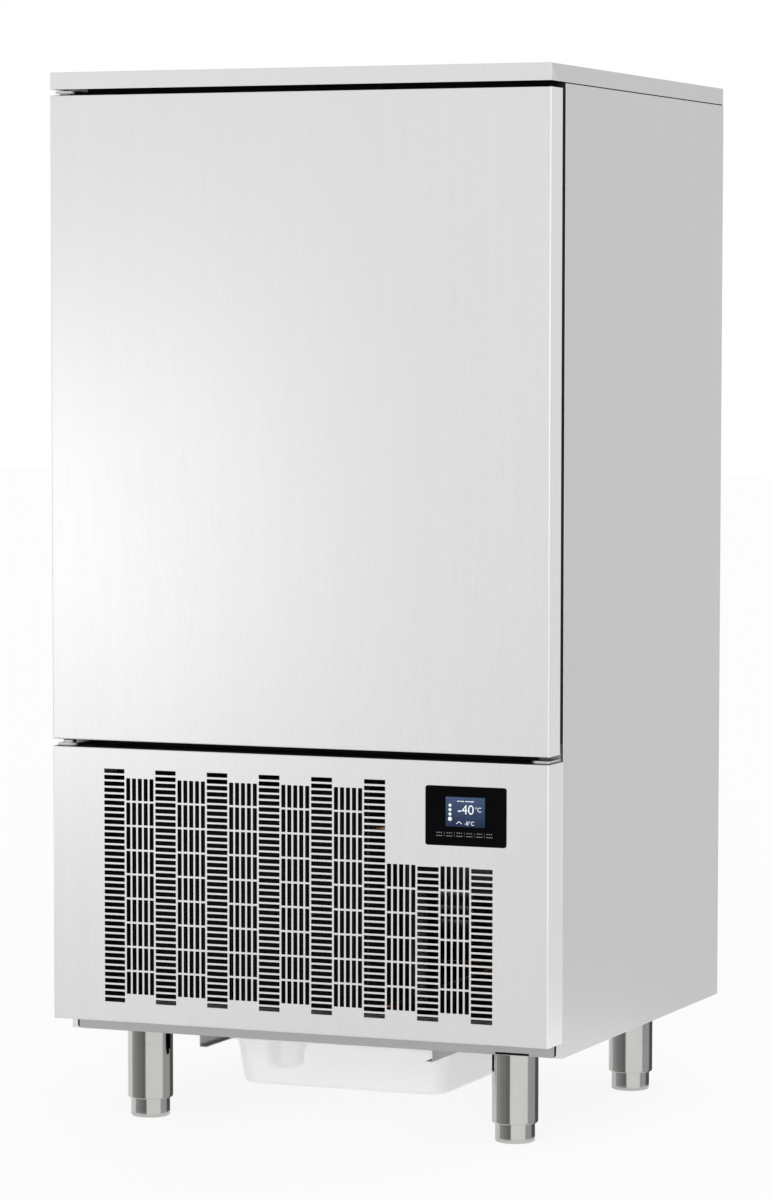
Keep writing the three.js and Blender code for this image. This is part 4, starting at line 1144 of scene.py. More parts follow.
# Black above 1.6 m: painted shade in the seam under the lid.
SHELL_FOAM = Foam("shell_foam", "foam", FOAM_YELLOW, 0.9, painted_shade=1.6)
RUBBER = Moulded(
    "gasket_rubber", "gasket_rubber", (0.01, 0.01, 0.011), 0.65, relief=0.06 * MM, gloss=0.15
)
GLASS = Glass("black_glass", "black_glass", (0.0015, 0.0015, 0.002), 0.08)
INK = Moulded("panel_marks", "grey_plastic", (0.2, 0.2, 0.2), 0.5)
DISPLAY = Backlit(
    "lit_display", "screen", (0.052, 0.085, 0.168), 0.25, foot=(0.011, 0.023, 0.064)
)
FIGURES = Backlit("lit_figures", "white_plastic", COLD_WHITE, 0.4, foot=COLD_WHITE)
BLACK_PLASTIC = Moulded("black_plastic", "black_plastic", (0.02, 0.02, 0.021), 0.45)
GREY_PLASTIC = Moulded("grey_plastic", "grey_plastic", (0.30, 0.31, 0.32), 0.5)
# The tray carries a painted glow.
TRAY_PLASTIC = ClearPlasticWithPaintedGlow("tray_plastic", "white_plastic", (0.97, 0.975, 0.97), 0.3)
COPPER = BrushedMetal("copper_tube", "copper", (0.55, 0.27, 0.16), 0.35, (1, 1, 1), 0.2, 0.9)
FINS = BrushedMetal("cooler_fins", "coil_aluminium", (0.72, 0.73, 0.74), 0.4, (0, 0, 1))
# Condenser fins in black: painted shade behind the slots.
FINS_PAINTED_SHADE = Moulded("condenser_fins", "coil_aluminium", (0.012, 0.012, 0.013), 0.6)
# The door frame is black: painted shade in the gaps round the door.
FRAME_PAINTED_SHADE = Moulded("frame_painted_shade", "stainless", BLACK, 0.6, 900.0, gloss=0.08)
# Real black paint on the motors, compressor and receiver; on the electrical box and the fan shroud
# it is painted shade behind the slots.
BLACK_PAINT_AND_SHADE = Moulded("black_paint", "black_paint", (0.02, 0.021, 0.023), 0.35, 500.0, 0.05 * MM, 0.4)


# ------------------------------------------------------------------------------ assemblies


THIN_PIPE = 5 * MM
THICK_PIPE = 8 * MM
TO_FRONT, TO_REAR = (0, -1, 0), (0, 1, 0)
UP, DOWN = (0, 0, 1), (0, 0, -1)


@dataclass
class Assembly:
    """A group of pieces that are made together."""

    bench: Bench

    def fit(self, piece: Piece, finish: Finish, *nodes: str, body: str = "cabinet") -> Piece:
        """Finishes a piece and puts it in its place.

        Args:
            piece: The modelled piece.
            finish: What it is made of.
            nodes: The CAD nodes that it stands for.
            body: The CAD body that it moves with.

        Returns:
            The piece.
        """
        piece.data.materials.clear()
        piece.data.materials.append(material_of(finish))
        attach(piece, body)
        if nodes:
            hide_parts(*nodes)
        log.info("%s: %d faces, on %s", piece.name, len(piece.data.polygons), body)
        return piece

    def dress(self, finish: Finish, *nodes: str) -> None:
        """Gives CAD nodes whose shape is right their finish.

        Args:
            finish: What they are made of.
            nodes: The CAD nodes.
        """
        for node in nodes:
            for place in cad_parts[node].material_slots:
                place.material = material_of(finish)
            log.info("%s: kept, with %s", node, finish.name)

    def pair(self, right: Piece, name: str, finish: Finish, node: str) -> None:
        """Fits a piece of the cabinet's right side, and its mirror image on the left.

        Args:
            right: The right piece.
            name: The left piece's name without its side.
            finish: What both are made of.
            node: The name of the CAD nodes without their side.
        """
        left = self.bench.mirror(right, f"left_{name}")
        self.bench.smooth(left)
        for side, piece in ((Side.RIGHT, right), (Side.LEFT, left)):
            self.fit(piece, finish, f"{side.value}_{node}")


@dataclass
class CabinetShell(Assembly):
    """Lid, sides, rear, liner, floor pan and what lies between them."""

    sheet: float = 1.2 * MM
    fold: float = 1.6 * MM
    lap: float = 0.4 * MM
    edge_return: float = 13 * MM
    bare_edge: float = 1.35 * MM
    seam: float = 0.8 * MM
    cove: float = 14 * MM
    vent_columns: int = 2
    vent_rows: int = 9
    vent_pitch: Point = (150 * MM, 24 * MM)
    vent: Point = (90 * MM, 7 * MM)
    vent_rise: float = 90 * MM
    drain_hole: float = 16 * MM
    probe_hole: float = 8.3 * MM
    pan_holes: Sequence[tuple[str, float]] = (
        ("drain_pipe", 14.3 * MM),
        ("cable_gland", 12.3 * MM),
    )
    plate_inset: float = 8.2 * MM
    plate_corner: float = 6 * MM
    slit: Point = (-6 * MM, 49 * MM)
    slit_edge: float = 0.9 * MM

    def build(self) -> None:
        """Makes every piece of the shell."""
        self.lid()
        self.sides()
        self.rear()
        self.liner()
        self.floor_pan()
        # Black door frame: painted shade in the gaps round the door.
        self.dress(FRAME_PAINTED_SHADE, "door_frame")
        self.dress(ZINC, "machine_deck")
        self.dress(SHELL_FOAM, "cabinet_insulation")

    def lid(self) -> None:
        """The folded lid, with a welded corner flap at each end of its side skirts."""
        box, make = Box.of("top_cover"), self.bench
        lap = Vector((self.lap, 0, 0))
        lid = make.tub("lid", box.low + lap, box.high - lap, DOWN, (self.fold, 4), self.sheet)
        make.smooth(lid)
        flap = self._flap(box)
        rear = make.copy(flap, "flap", turn=math.pi, about=box.middle, axis=UP)
        left, last = make.mirror(flap, "flap"), make.mirror(rear, "flap")
        # The lid's front right flap gets a painted highlight.
        welded = replace(
            LID_STEEL,
            corner=(box.low.y, box.low.z),
            drop=box.size.z,
            flank=box.high.x - MM,
        )
        self.fit(make.join(lid, flap, left, rear, last), welded, "top_cover")

    def _flap(self, box: Box) -> Piece:
        """The flap at the lid's front right corner, with a slanting end.

        Args:
            box: The lid's room.

        Returns:
            The flap.
        """
        make, drop = self.bench, box.size.z
        corner = Vector((box.high.x, box.low.y + 1.5 * self.fold, box.low.z))
        low = corner - Vector((2 * self.lap, 0, 0))
        flap = make.block("flap", low, corner + Vector((0, drop, drop - self.fold)))
        make.whole(flap)
        cut = {"plane_co": (0, box.low.y + drop, box.low.z), "plane_no": (0, 1, 1)}
        bpy.ops.mesh.bisect(use_fill=True, clear_outer=True, **cut)
        make.done()
        make.soften(flap, 0.3 * MM)
        return flap

    def sides(self) -> None:
        """The two side sheets, each with a return on its front edge."""
        box, make = Box.of("right_side_panel"), self.bench
        x, (front, back) = box.high.x, (box.low.y, box.high.y)
        corner = [(x - self.fold, front), (x - 0.3 * self.fold, front + 0.3 * self.fold)]
        outline = [(x - self.edge_return, front), *corner, (x, front + self.fold), (x, back)]
        line = [(u, v, box.low.z) for u, v in outline]
        rise = (0, 0, box.size.z - self.seam)
        right = make.folded("right_side_sheet", line, rise, self.sheet, (1, -1, 0))
        # Painted shade: the front return above 0.6 m is black, in the gap beside the door.
        with_painted_shade = replace(SIDE_STEEL, inner=x - self.bare_edge)
        self.pair(right, "side_sheet", with_painted_shade, "side_panel")

    def rear(self) -> None:
        """The rear sheet with two columns of round-ended vents."""
        box, make = Box.of("rear_panel"), self.bench
        sheet = make.block("rear_sheet", box.low, box.high)
        width, height = self.vent
        x = -((self.vent_columns - 1) * self.vent_pitch[0] + width) / 2
        z = box.low.z + self.vent_rise
        low, high = (x, box.low.y - MM, z), (x + width, box.high.y + MM, z + height)
        tool = make.block("vent", low, high)
        make.round_off(tool, 0.49 * height, running(Axis.Y), 5)
        make.cut(sheet, self._vents(tool))
        make.soften(sheet, 0.25 * MM)
        blades = self._vents(self._blade(low, high, box.low.y))
        self.fit(make.join(sheet, blades), STEEL_FLAT, "rear_panel")

    def _vents(self, piece: Piece) -> Piece:
        """Repeats what belongs to the first vent for every vent."""
        self.bench.repeat(piece, self.vent_columns, (self.vent_pitch[0], 0, 0))
        return self.bench.repeat(piece, self.vent_rows, (0, 0, self.vent_pitch[1]))

    def _blade(self, low: Point, high: Point, inside: float) -> Piece:
        """The slanting blade behind a vent, which keeps drips out of the machine.

        Args:
            low: The vent's lowest corner.
            high: The vent's highest corner.
            inside: Where the rear sheet's inner face is.

        Returns:
            The blade.
        """
        edge = 4 * MM
        line = [(low[0] - edge, inside, high[2] + 3 * MM)]
        line += [(low[0] - edge, inside - 9 * MM, low[2] - edge)]
        rise = (high[0] - low[0] + 2 * edge, 0, 0)
        return self.bench.folded("blade", line, rise, MM, (0, 1, 1))

    def liner(self) -> None:
        """The chamber's lining with coved edges at its back, and its holes."""
        box, make = Box.of("chamber_liner"), self.bench
        wall, rear = Vector((MM, 0, MM)), box.high.y - MM
        high = box.high - wall - Vector((0, MM, 0))
        liner = make.block("chamber_lining", box.low + wall, high)
        make.open_side(liner, TO_FRONT)
        make.round_off(liner, self.cove, lying(Axis.Y, rear), 5)
        make.flip(liner)
        make.thicken(liner, MM)
        floor = (box.low.z - 2 * MM, box.low.z + 4 * MM)
        liquid, cold = Box.of("liquid_pipe").high, Box.of("suction_pipe")
        spots = [
            (THIN_PIPE + 2 * MM, (liquid.x - THIN_PIPE, liquid.y - THIN_PIPE, 0)),
            (THICK_PIPE + 2 * MM, (cold.low.x + THICK_PIPE, cold.high.y - THICK_PIPE, 0)),
            (self.drain_hole, Box.of("drain_pipe").middle),
        ]
        holes = [make.rod("hole", radius, floor, spot, Axis.Z) for radius, spot in spots]
        wall_x = (box.high.x - 4 * MM, box.high.x + 4 * MM)
        probe = Box.of("probe_gland").middle
        holes.append(make.rod("hole", self.probe_hole, wall_x, probe, Axis.X))
        make.cut(liner, *holes)
        make.smooth(liner)
        self.fit(liner, CHAMBER, "chamber_liner")

    def floor_pan(self) -> None:
        """The floor of the machine compartment, with its slotted front plate."""
        box, make = Box.of("base_pan"), self.bench
        front, foot = box.low.y + 1.5 * MM, box.low.z
        low = (box.low.x, front, foot)
        pan = make.tub("floor_pan", low, box.high, UP, (self.fold, 3), self.sheet)
        holes = []
        for node, radius in self.pan_holes:
            span = (foot - MM, foot + 4 * MM)
            holes.append(make.rod("hole", radius, span, Box.of(node).middle, Axis.Z))
        make.cut(pan, *holes)
        edge = box.high.x - self.plate_inset
        low, high = (-edge, box.low.y, foot), (edge, front + self.sheet, box.high.z)
        plate = make.block("plate", low, high)
        lower = both(running(Axis.Y), lying(Axis.Z, foot))
        make.round_off(plate, self.plate_corner, lower, 5)
        leg, (start, end) = Box.of("front_right_leg").middle.x, self.slit
        low = (leg + start, box.low.y - MM, foot + self.slit_edge)
        high = (leg + end, box.low.y + 6 * MM, foot + 4 * MM)
        for sheet in (pan, plate):
            make.cut(sheet, make.block("slit", low, high))
        make.soften(plate, 0.3 * MM)
        make.smooth(pan)
        # Painted shade: the pan's inside, behind its front plate, is black.
        behind, above = front + self.slit_edge, foot + self.slit_edge
        pan_finish_with_shade = replace(PAN_STEEL, behind=behind, above=above, inner=edge - MM)
        self.fit(make.join(pan, plate), pan_finish_with_shade, "base_pan")


@dataclass
class Door(Assembly):
    """The insulated door and what turns with it."""

    sheet: float = 1.2 * MM
    edge: float = 2.5 * MM
    corner: float = 0.8 * MM
    bare_edge: float = 1.7 * MM
    liner: float = 1.5 * MM
    field_inset: float = 43 * MM
    field_lean: float = 0.008
    gasket: float = 20 * MM
    channel: Point = (6 * MM, 3 * MM)
    pin: float = 6.1 * MM
    bush_wall: float = 3 * MM

    def build(self) -> None:
        """Makes the door."""
        self.skin()
        self.inner_panel()
        self.seal()
        self.bushes()
        self.dress(FOAM, "door_insulation")

    def skin(self) -> None:
        """The outer skin, round at its front edges, with a hole for each bush."""
        box, make = Box.of("door_skin"), self.bench
        skin = make.block("door_shell", box.low, box.high)
        make.open_side(skin, TO_REAR)
        front = box.low.y
        make.round_off(skin, self.edge, lying(Axis.Y, front), 5)
        whole_depth = both(running(Axis.Y), lambda a, b: abs(a.y - b.y) > 9 * MM)
        make.round_off(skin, self.corner, whole_depth, 2)
        make.thicken(skin, self.sheet)
        bush = Box.of("lower_door_bush").middle
        radius = self.pin + self.bush_wall + 0.3 * MM
        low = make.rod("hole", radius, (box.low.z - MM, box.low.z + 5 * MM), bush, Axis.Z)
        high = make.copy(low, "hole", (0, 0, box.size.z - 4 * MM))
        make.cut(skin, low, high)
        make.smooth(skin)
        # Painted shade on the top and bottom returns, in the gaps above and below the door, and a
        # painted highlight on its right side.
        with_painted_shade = replace(
            DOOR_STEEL,
            behind=front + 1.6 * self.edge,
            above=box.high.z - 0.5 * MM,
            below=box.low.z + 0.5 * MM,
            flank=box.high.x - self.bare_edge,
        )
        self.fit(skin, with_painted_shade, "door_skin", body="door")

    def inner_panel(self) -> None:
        """The inner panel, with a raised field."""
        box, make = Box.of("door_inner_panel"), self.bench
        plane = box.low.y + self.liner
        panel = make.block("door_liner", box.low, (box.high.x, plane, box.high.z))
        make.faces(panel, lambda _, normal: normal.y < 0.5)
        bpy.ops.mesh.delete(type="FACE")
        make.done()
        make.whole(panel)
        bpy.ops.mesh.inset(thickness=self.field_inset - 1.5 * MM)
        make.draw_out((0, box.high.y - plane, 0))
        make.spread((1 - self.field_lean, 1, 1 - self.field_lean), box.middle)
        make.done()
        limit = box.high.x - 2 * self.gasket
        make.round_off(panel, 3 * MM, lambda a, b: max(abs(a.x), abs(b.x)) < limit, 4)
        make.thicken(panel, self.liner)
        make.smooth(panel)
        self.fit(panel, CHAMBER, "door_inner_panel", body="door")

    def seal(self) -> None:
        """The magnetic gasket: a bead with a channel for the magnet strip."""
        box, make = Box.of("door_gasket"), self.bench
        seal = make.block("magnetic_seal", box.low, box.high)
        inset = Vector((self.gasket, -MM, self.gasket))
        make.cut(seal, make.block("hole", box.low + inset, box.high - inset))
        make.faces(seal, facing(TO_REAR))
        edge, depth = self.channel
        bpy.ops.mesh.inset(thickness=edge)
        make.draw_out((0, -depth, 0))
        make.done()
        make.soften(seal, 1.6 * MM, 3)
        self.fit(seal, RUBBER, "door_gasket", body="door")

    def bushes(self) -> None:
        """A flanged bush in each end of the door's hinge edge."""
        for end in ("lower", "upper"):
            box, make = Box.of(f"{end}_door_bush"), self.bench
            pin, wall = self.pin / MM, (self.pin + self.bush_wall) / MM
            flange = box.size.x / 2 / MM
            foot, head, up = box.low.z, box.high.z, 1
            if end == "upper":
                foot, head, up = head, foot, -1
            rim = [(flange - 0.4, 0), (flange, 0.4), (flange, 1.1), (flange - 0.4, 1.5)]
            lower = [(pin, 0), *rim, (wall, 1.5)]
            upper = [(wall, -0.8), (wall - 0.8, 0), (pin, 0)]
            outline = turned((foot, lower), (head, upper), (foot, lower[:1]), up=up)
            bush = make.lathe(f"{end}_bush", outline, box.middle)
            self.fit(bush, GREY_PLASTIC, f"{end}_door_bush", body="door")


@dataclass
class FrontPanel(Assembly):
    """The slotted panel over the machine compartment.

    The tall columns of slots and the short ones are given as columns, rows of level slots and
    rows of upright ones.
    """

    sheet: float = 1.2 * MM
    edge: float = 2.5 * MM
    bare_edge: float = 1.7 * MM
    slot: Point = (35 * MM, 7 * MM)
    bridge: float = 3 * MM
    first: Point = (-325.5 * MM, 31.5 * MM)
    rise: float = 14 * MM
    group: int = 5
    tall: tuple[int, int, int] = (6, 37, 9)
    short: tuple[int, int, int] = (2, 24, 6)
    corner: float = 0.9 * MM

    def build(self) -> None:
        """Folds the panel and punches its slots."""
        box, make = Box.of("front_panel"), self.bench
        panel = make.block("slotted_panel", box.low, box.high)
        make.open_side(panel, TO_REAR)
        front = box.low.y
        make.round_off(panel, self.edge, lying(Axis.Y, front), 5)
        make.thicken(panel, self.sheet)
        housing = Box.of("control_housing")
        spare = Vector((0.3 * MM, 0, 0.3 * MM))
        low, high = housing.low - spare, housing.high + spare
        low.y, high.y = front - MM, front + 3 * MM
        tools = [make.block("hole", low, high), *self._punches(front, box.low.z)]
        make.cut(panel, *tools)
        make.smooth(panel)
        # Painted shade on the top return, in the gap under the door, and a painted highlight on
        # the right side.
        with_painted_shade = replace(
            PANEL_STEEL,
            behind=front + 1.2 * self.edge,
            above=box.high.z - 0.5 * MM,
            flank=box.high.x - self.bare_edge,
        )
        self.fit(panel, with_painted_shade, "front_panel")

    def _punches(self, front: float, bottom: float) -> list[Piece]:
        """The four groups of punches, level and upright, for the tall and short columns.

        Args:
            front: Where the panel's face is.
            bottom: The level of its lower edge.

        Returns:
            The punches.
        """
        make, (length, width) = self.bench, self.slot
        pitch = width + self.bridge
        column = length + self.group * pitch + self.bridge
        x, z = self.first[0], bottom + self.first[1]
        tools = []
        for start, (columns, rows, groups), gaps in (
            (x, self.tall, self.tall[0] - 1),
            (x + self.tall[0] * column, self.short, self.short[0]),
        ):
            level = self._punch(front, (start, z), (length, width))
            make.repeat(level, columns, (column, 0, 0))
            make.repeat(level, rows, (0, 0, pitch))
            left = start + length + self.bridge
            if start > x:
                left -= column
            upright = self._punch(front, (left, z + self.rise), (width, length))
            make.repeat(upright, self.group, (pitch, 0, 0))
            make.repeat(upright, gaps, (column, 0, 0))
            make.repeat(upright, groups, (0, 0, length + self.bridge))
            tools += [level, upright]
        return tools

    def _punch(self, front: float, corner: Point, size: Point) -> Piece:
        """One punch with slightly round corners.

        Args:
            front: Where the panel's face is.
            corner: Its lower left corner, across and up.
            size: Its width and height.

        Returns:
            The punch.
        """
        (x, z), (wide, high) = corner, size
        low, top = (x, front - MM, z), (x + wide, front + 3 * MM, z + high)
        punch = self.bench.block("punch", low, top)
        self.bench.round_off(punch, self.corner, running(Axis.Y), 2)
        return punch


@dataclass
class Controls(Assembly):
    """The touch panel, its display and the housing behind.

    What the display shows is given as shares of its width and height, and in millimetres.
    """

    corner: float = 4 * MM
    rim: float = 5 * MM
    thick: float = 0.12 * MM
    sunk: float = 0.06 * MM
    keys: int = 6
    first_key: float = 23 * MM
    key_pitch: float = 16.3 * MM
    figures: Sequence[tuple[str, str, float, float, float]] = (
        ("large_reading", "-40", 20.5, 0.30, 0.43),
        ("large_unit", "°C", 10, 0.745, 0.52),
        ("small_reading", "-8°C", 8.5, 0.48, 0.055),
    )
    dots: Sequence[Point] = ((0.72, 2.4), (0.57, 2.4), (0.42, 2.4), (0.255, 3.2))
    header: Sequence[Point] = ((0, 3.4), (4.2, 6.6), (7.4, 11), (13.4, 16), (16.8, 20), (20.8, 27))

    def build(self) -> None:
        """Makes the glass, the display and what shows on both."""
        glass, screen = Box.of("control_fascia"), Box.of("display_screen")
        low = Vector((screen.low.x + self.rim, screen.low.y, screen.low.z + self.rim))
        high = Vector((screen.high.x - self.rim, screen.low.y, screen.high.z - self.rim))
        self.glass(glass, low, high)
        self.display(screen, low, high)
        self.reading(low, high)
        self.marks(glass, low)
        self.housing()

    def glass(self, box: Box, low: Vector, high: Vector) -> None:
        """The black glass, with an opening for the display.

        Args:
            box: The glass's room.
            low: The lowest corner of the display's pane.
            high: Its highest corner.
        """
        make = self.bench
        glass = make.block("touch_glass", box.low + Vector((0, self.sunk, 0)), box.high)
        make.round_off(glass, self.corner, running(Axis.Y), 8)
        spare = Vector((0.3 * MM, 3 * MM, 0.3 * MM))
        make.cut(glass, make.block("hole", low - spare, high + spare))
        make.soften(glass, 0.25 * MM)
        self.fit(glass, GLASS, "control_fascia")

    def display(self, box: Box, low: Vector, high: Vector) -> None:
        """The display's pane, and the module that holds it.

        Args:
            box: The room of both.
            low: The pane's lowest corner.
            high: Its highest corner.
        """
        make, front = self.bench, Box.of("front_panel").low.y
        pane = make.block("display_pane", low, (high.x, front + 0.3 * MM, high.z))
        module = make.block("module", (box.low.x, front, box.low.z), box.high)
        make.fuse(pane, module)
        make.soften(pane, 0.1 * MM)
        lit = replace(DISPLAY, low=low.z, high=high.z)
        self.fit(pane, lit, "display_screen")

    def reading(self, low: Vector, high: Vector) -> None:
        """What the display shows: a temperature, a second one, four marks and a header.

        Args:
            low: The pane's lowest corner.
            high: Its highest corner.
        """
        make, wide, tall = self.bench, high.x - low.x, high.z - low.z

        def at(u: float, v: float) -> tuple[float, float, float]:
            """The point at a share of the pane's width and height."""
            return (low.x + u * wide, low.y, low.z + v * tall)

        shown = [
            make.lettering(name, words, size * MM, at(u, v), self.thick)
            for name, words, size, u, v in self.figures
        ]
        span = (low.y - self.thick, low.y)
        for v, radius in self.dots:
            shown.append(make.rod("dot", radius * MM, span, at(0.11, v), Axis.Y))
        x, y, z = at(0.295, 0.85)
        for start, end in self.header:
            bar_low = (x + start * MM, y - self.thick, z)
            shown.append(make.block("bar", bar_low, (x + end * MM, y, z + 1.4 * MM)))
        for tilt in (-1, 1):
            x, y, z = at(0.345 + 0.032 * tilt, 0.125)
            bar = make.block("tick", (x - 2.9 * MM, y - self.thick, z), (x + 2.9 * MM, y, z + MM))
            turned = make.copy(bar, "tick", turn=tilt * 0.7, about=(x, y, z))
            bpy.data.objects.remove(bar)
            shown.append(turned)
        for number, piece in enumerate(shown):
            piece.name = f"reading_{number}"
            self.fit(piece, FIGURES)

    def marks(self, box: Box, screen: Vector) -> None:
        """A row of small plain marks for the touch keys, with lines between them.

        Args:
            box: The glass's room.
            screen: The lowest corner of the display's pane.
        """
        make, y, z = self.bench, box.low.y + 0.03 * MM, screen.z - 10 * MM
        marks = []
        for key in range(self.keys):
            x = box.low.x + self.first_key + self.key_pitch * key
            shapes = [(3.4 * dot - 0.8, -0.8, 3.4 * dot + 0.8, 0.8) for dot in (-1, 0, 1)]
            shapes.append((-5.2, -5.1, 5.2, -4.2))
            if key:
                shapes.append((-8.3, -5.4, -8.0, 1.4))
            for left, foot, right, top in shapes:
                low = (x + left * MM, y, z + foot * MM)
                high = (x + right * MM, y + 0.3 * MM, z + top * MM)
                marks.append(make.block("mark", low, high))
        self.fit(make.join(*marks), INK).name = "key_marks"

    def housing(self) -> None:
        """The moulded box behind the glass."""
        box, make = Box.of("control_housing"), self.bench
        fold = (2.5 * MM, 3)
        housing = make.tub("control_box", box.low, box.high, TO_FRONT, fold, 2 * MM)
        make.smooth(housing)
        self.fit(housing, BLACK_PLASTIC, "control_housing")


@dataclass
class Hinges(Assembly):
    """The hinge plates, with their pins. The outline is in millimetres."""

    plate: float = 4 * MM
    leg: float = 26 * MM
    nose: float = 14 * MM
    corner: float = 4 * MM
    tip: Outline = ((0, 0), (4.5, 0), (6, -1.5))

    def build(self) -> None:
        """Makes the lower, upper and spare plate."""
        bush = Box.of("lower_door_bush")
        lower, upper = Box.of("lower_hinge_plate"), Box.of("upper_hinge_plate")
        make, top = self.bench, bush.low.z - 0.3 * MM
        base = self._plate("lower_hinge", lower, lower.low.z)
        spare = make.mirror(base, "spare_hinge")
        make.smooth(spare)
        collar = ((10, -0.6), (9.4, 0), (6, 0))
        outline = turned((lower.low.z + 2 * MM, ((0, 0), (10, 0))), (top, collar))
        outline += turned((lower.high.z, self.tip[::-1]))
        pin = make.lathe("pin", outline, bush.middle, steps=32)
        self.fit(make.join(base, pin), BRACKET, "lower_hinge_plate")
        self.fit(spare, BRACKET, "spare_hinge_plate")
        arm = Box.of("door_skin").high.z + 3 * MM
        head = self._plate("upper_hinge", upper, arm)
        outline = turned((upper.low.z, self.tip), up=-1)
        outline += turned((arm, ((6, 2), (0, 2))))
        pin = make.lathe("pin", outline, bush.middle, steps=32)
        self.fit(make.join(head, pin), BRACKET, "upper_hinge_plate")

    def _plate(self, name: str, box: Box, arm: float) -> Piece:
        """The level arm with its round nose, bent up into an upright leg.

        Args:
            name: The piece's name.
            box: The plate's room.
            arm: The level of the arm's underside.

        Returns:
            The plate.
        """
        make, (left, front), (right, back) = self.bench, box.low[:2], box.high[:2]
        plate = make.block(name, (left, front, arm), (right, back, arm + self.plate))
        low, high = (left, back - self.plate, arm), (right, back, arm + self.leg)
        leg = make.block("leg", low, high)
        for radius, side, segments in ((self.nose, right, 8), (self.corner, left, 5)):
            corner = both(lying(Axis.Y, front), lying(Axis.X, side))
            make.round_off(plate, radius, corner, segments)
        make.fuse(plate, leg)
        make.soften(plate, 0.4 * MM)
        return plate


@dataclass
class Legs(Assembly):
    """Four tubes with their adjustable feet. The outlines are in millimetres."""

    bore: Outline = ((0, -6), (8.3, -6), (8.3, -75), (33, -75))
    tube_foot: Outline = ((33, 0.8), (33.8, 0), (34.4, 0), (35.4, 0.9), (36, 3))
    tube_head: Outline = ((36, -0.8), (35.2, 0), (6, 0), (6, 6.2), (5.2, 7), (0, 7))
    sole: Outline = ((0, 0), (28, 0), (30.1, 0.9), (31, 3))
    shoulder: Outline = ((31, -1), (30, 0), (8, 0))
    spindle: Outline = ((8, -1), (7, 0), (0, 0))
    stud: float = 7 * MM
    overlap: float = 15 * MM

    def build(self) -> None:
        """Turns each leg, hollow below its threaded boss, and the screwed foot in it."""
        for corner in (f"{end}_{side.value}" for end in ("front", "rear") for side in Side):
            leg, foot = Box.of(f"{corner}_leg"), Box.of(f"{corner}_foot")
            head, shoulder = leg.high.z - self.stud, leg.low.z + self.overlap
            foot_part, top_part = (leg.low.z, self.tube_foot), (head, self.tube_head)
            outline = turned((head, self.bore), foot_part, top_part)
            tube = self.bench.lathe(f"{corner}_tube", outline, leg.middle, steps=96)
            self.fit(tube, SATIN, f"{corner}_leg")
            top_part = (foot.high.z, self.spindle)
            outline = turned((0, self.sole), (shoulder, self.shoulder), top_part)
            screw = self.bench.lathe(f"{corner}_screw", outline, foot.middle, steps=96)
            self.fit(screw, SATIN, f"{corner}_foot", body=f"{corner}_foot_screw")


@dataclass
class DripTray(Assembly):
    """The moulded tray and the runners that it slides on."""

    sheet: float = 1.5 * MM
    wall: float = 2.5 * MM
    corner: float = 32 * MM
    draft: float = 10 * MM
    rim: float = 8.5 * MM
    fillet: float = 8 * MM
    web: float = 11.5 * MM

    def build(self) -> None:
        """Makes the tray and both runners."""
        self.tray()
        self.runners()

    def tray(self) -> None:
        """A tray with leaning walls, round corners and a rim that it hangs by."""
        box, make = Box.of("drip_tray"), self.bench
        rim = Vector((self.rim, self.rim, 0))
        tray = make.block("tray", box.low + rim, box.high - rim)
        make.round_off(tray, self.corner, running(Axis.Z), 10)
        make.faces(tray, facing(DOWN))
        size = box.size - 2 * rim
        make.spread((1 - 2 * self.draft / size.x, 1 - 2 * self.draft / size.y, 1), box.middle)
        make.done()
        make.round_off(tray, self.fillet, lying(Axis.Z, box.low.z), 5)
        make.faces(tray, facing(UP))
        bpy.ops.mesh.delete(type="ONLY_FACE")
        make.done()
        make.edges(tray, lying(Axis.Z, box.high.z))
        make.draw_out((0, 0, 0))
        make.spread((1 + 2 * self.rim / size.x, 1 + 2 * self.rim / size.y, 1), box.middle)
        make.draw_out((0, 0, -self.wall))
        make.done()
        make.thicken(tray, self.wall * 0.96)
        make.soften(tray, 0.8 * MM, 3)
        self.fit(tray, TRAY_PLASTIC, "drip_tray", body="drip_drawer")

    def runners(self) -> None:
        """Two folded runners, level at top and bottom."""
        box, make = Box.of("right_tray_runner"), self.bench
        web, foot, top = box.low.x + self.web, box.low.z, box.high.z
        outline = [(box.low.x, foot), (web - MM, foot), (web, foot + MM), (web, top - 2.2 * MM)]
        outline += [(web + 0.7 * MM, top - self.sheet), (box.high.x, top - self.sheet)]
        line = [(x, box.low.y, z) for x, z in outline]
        rise = (0, box.size.y, 0)
        right = make.folded("right_runner", line, rise, self.sheet, (1, 0, -1))
        self.pair(right, "runner", DULL_STEEL, "tray_runner")


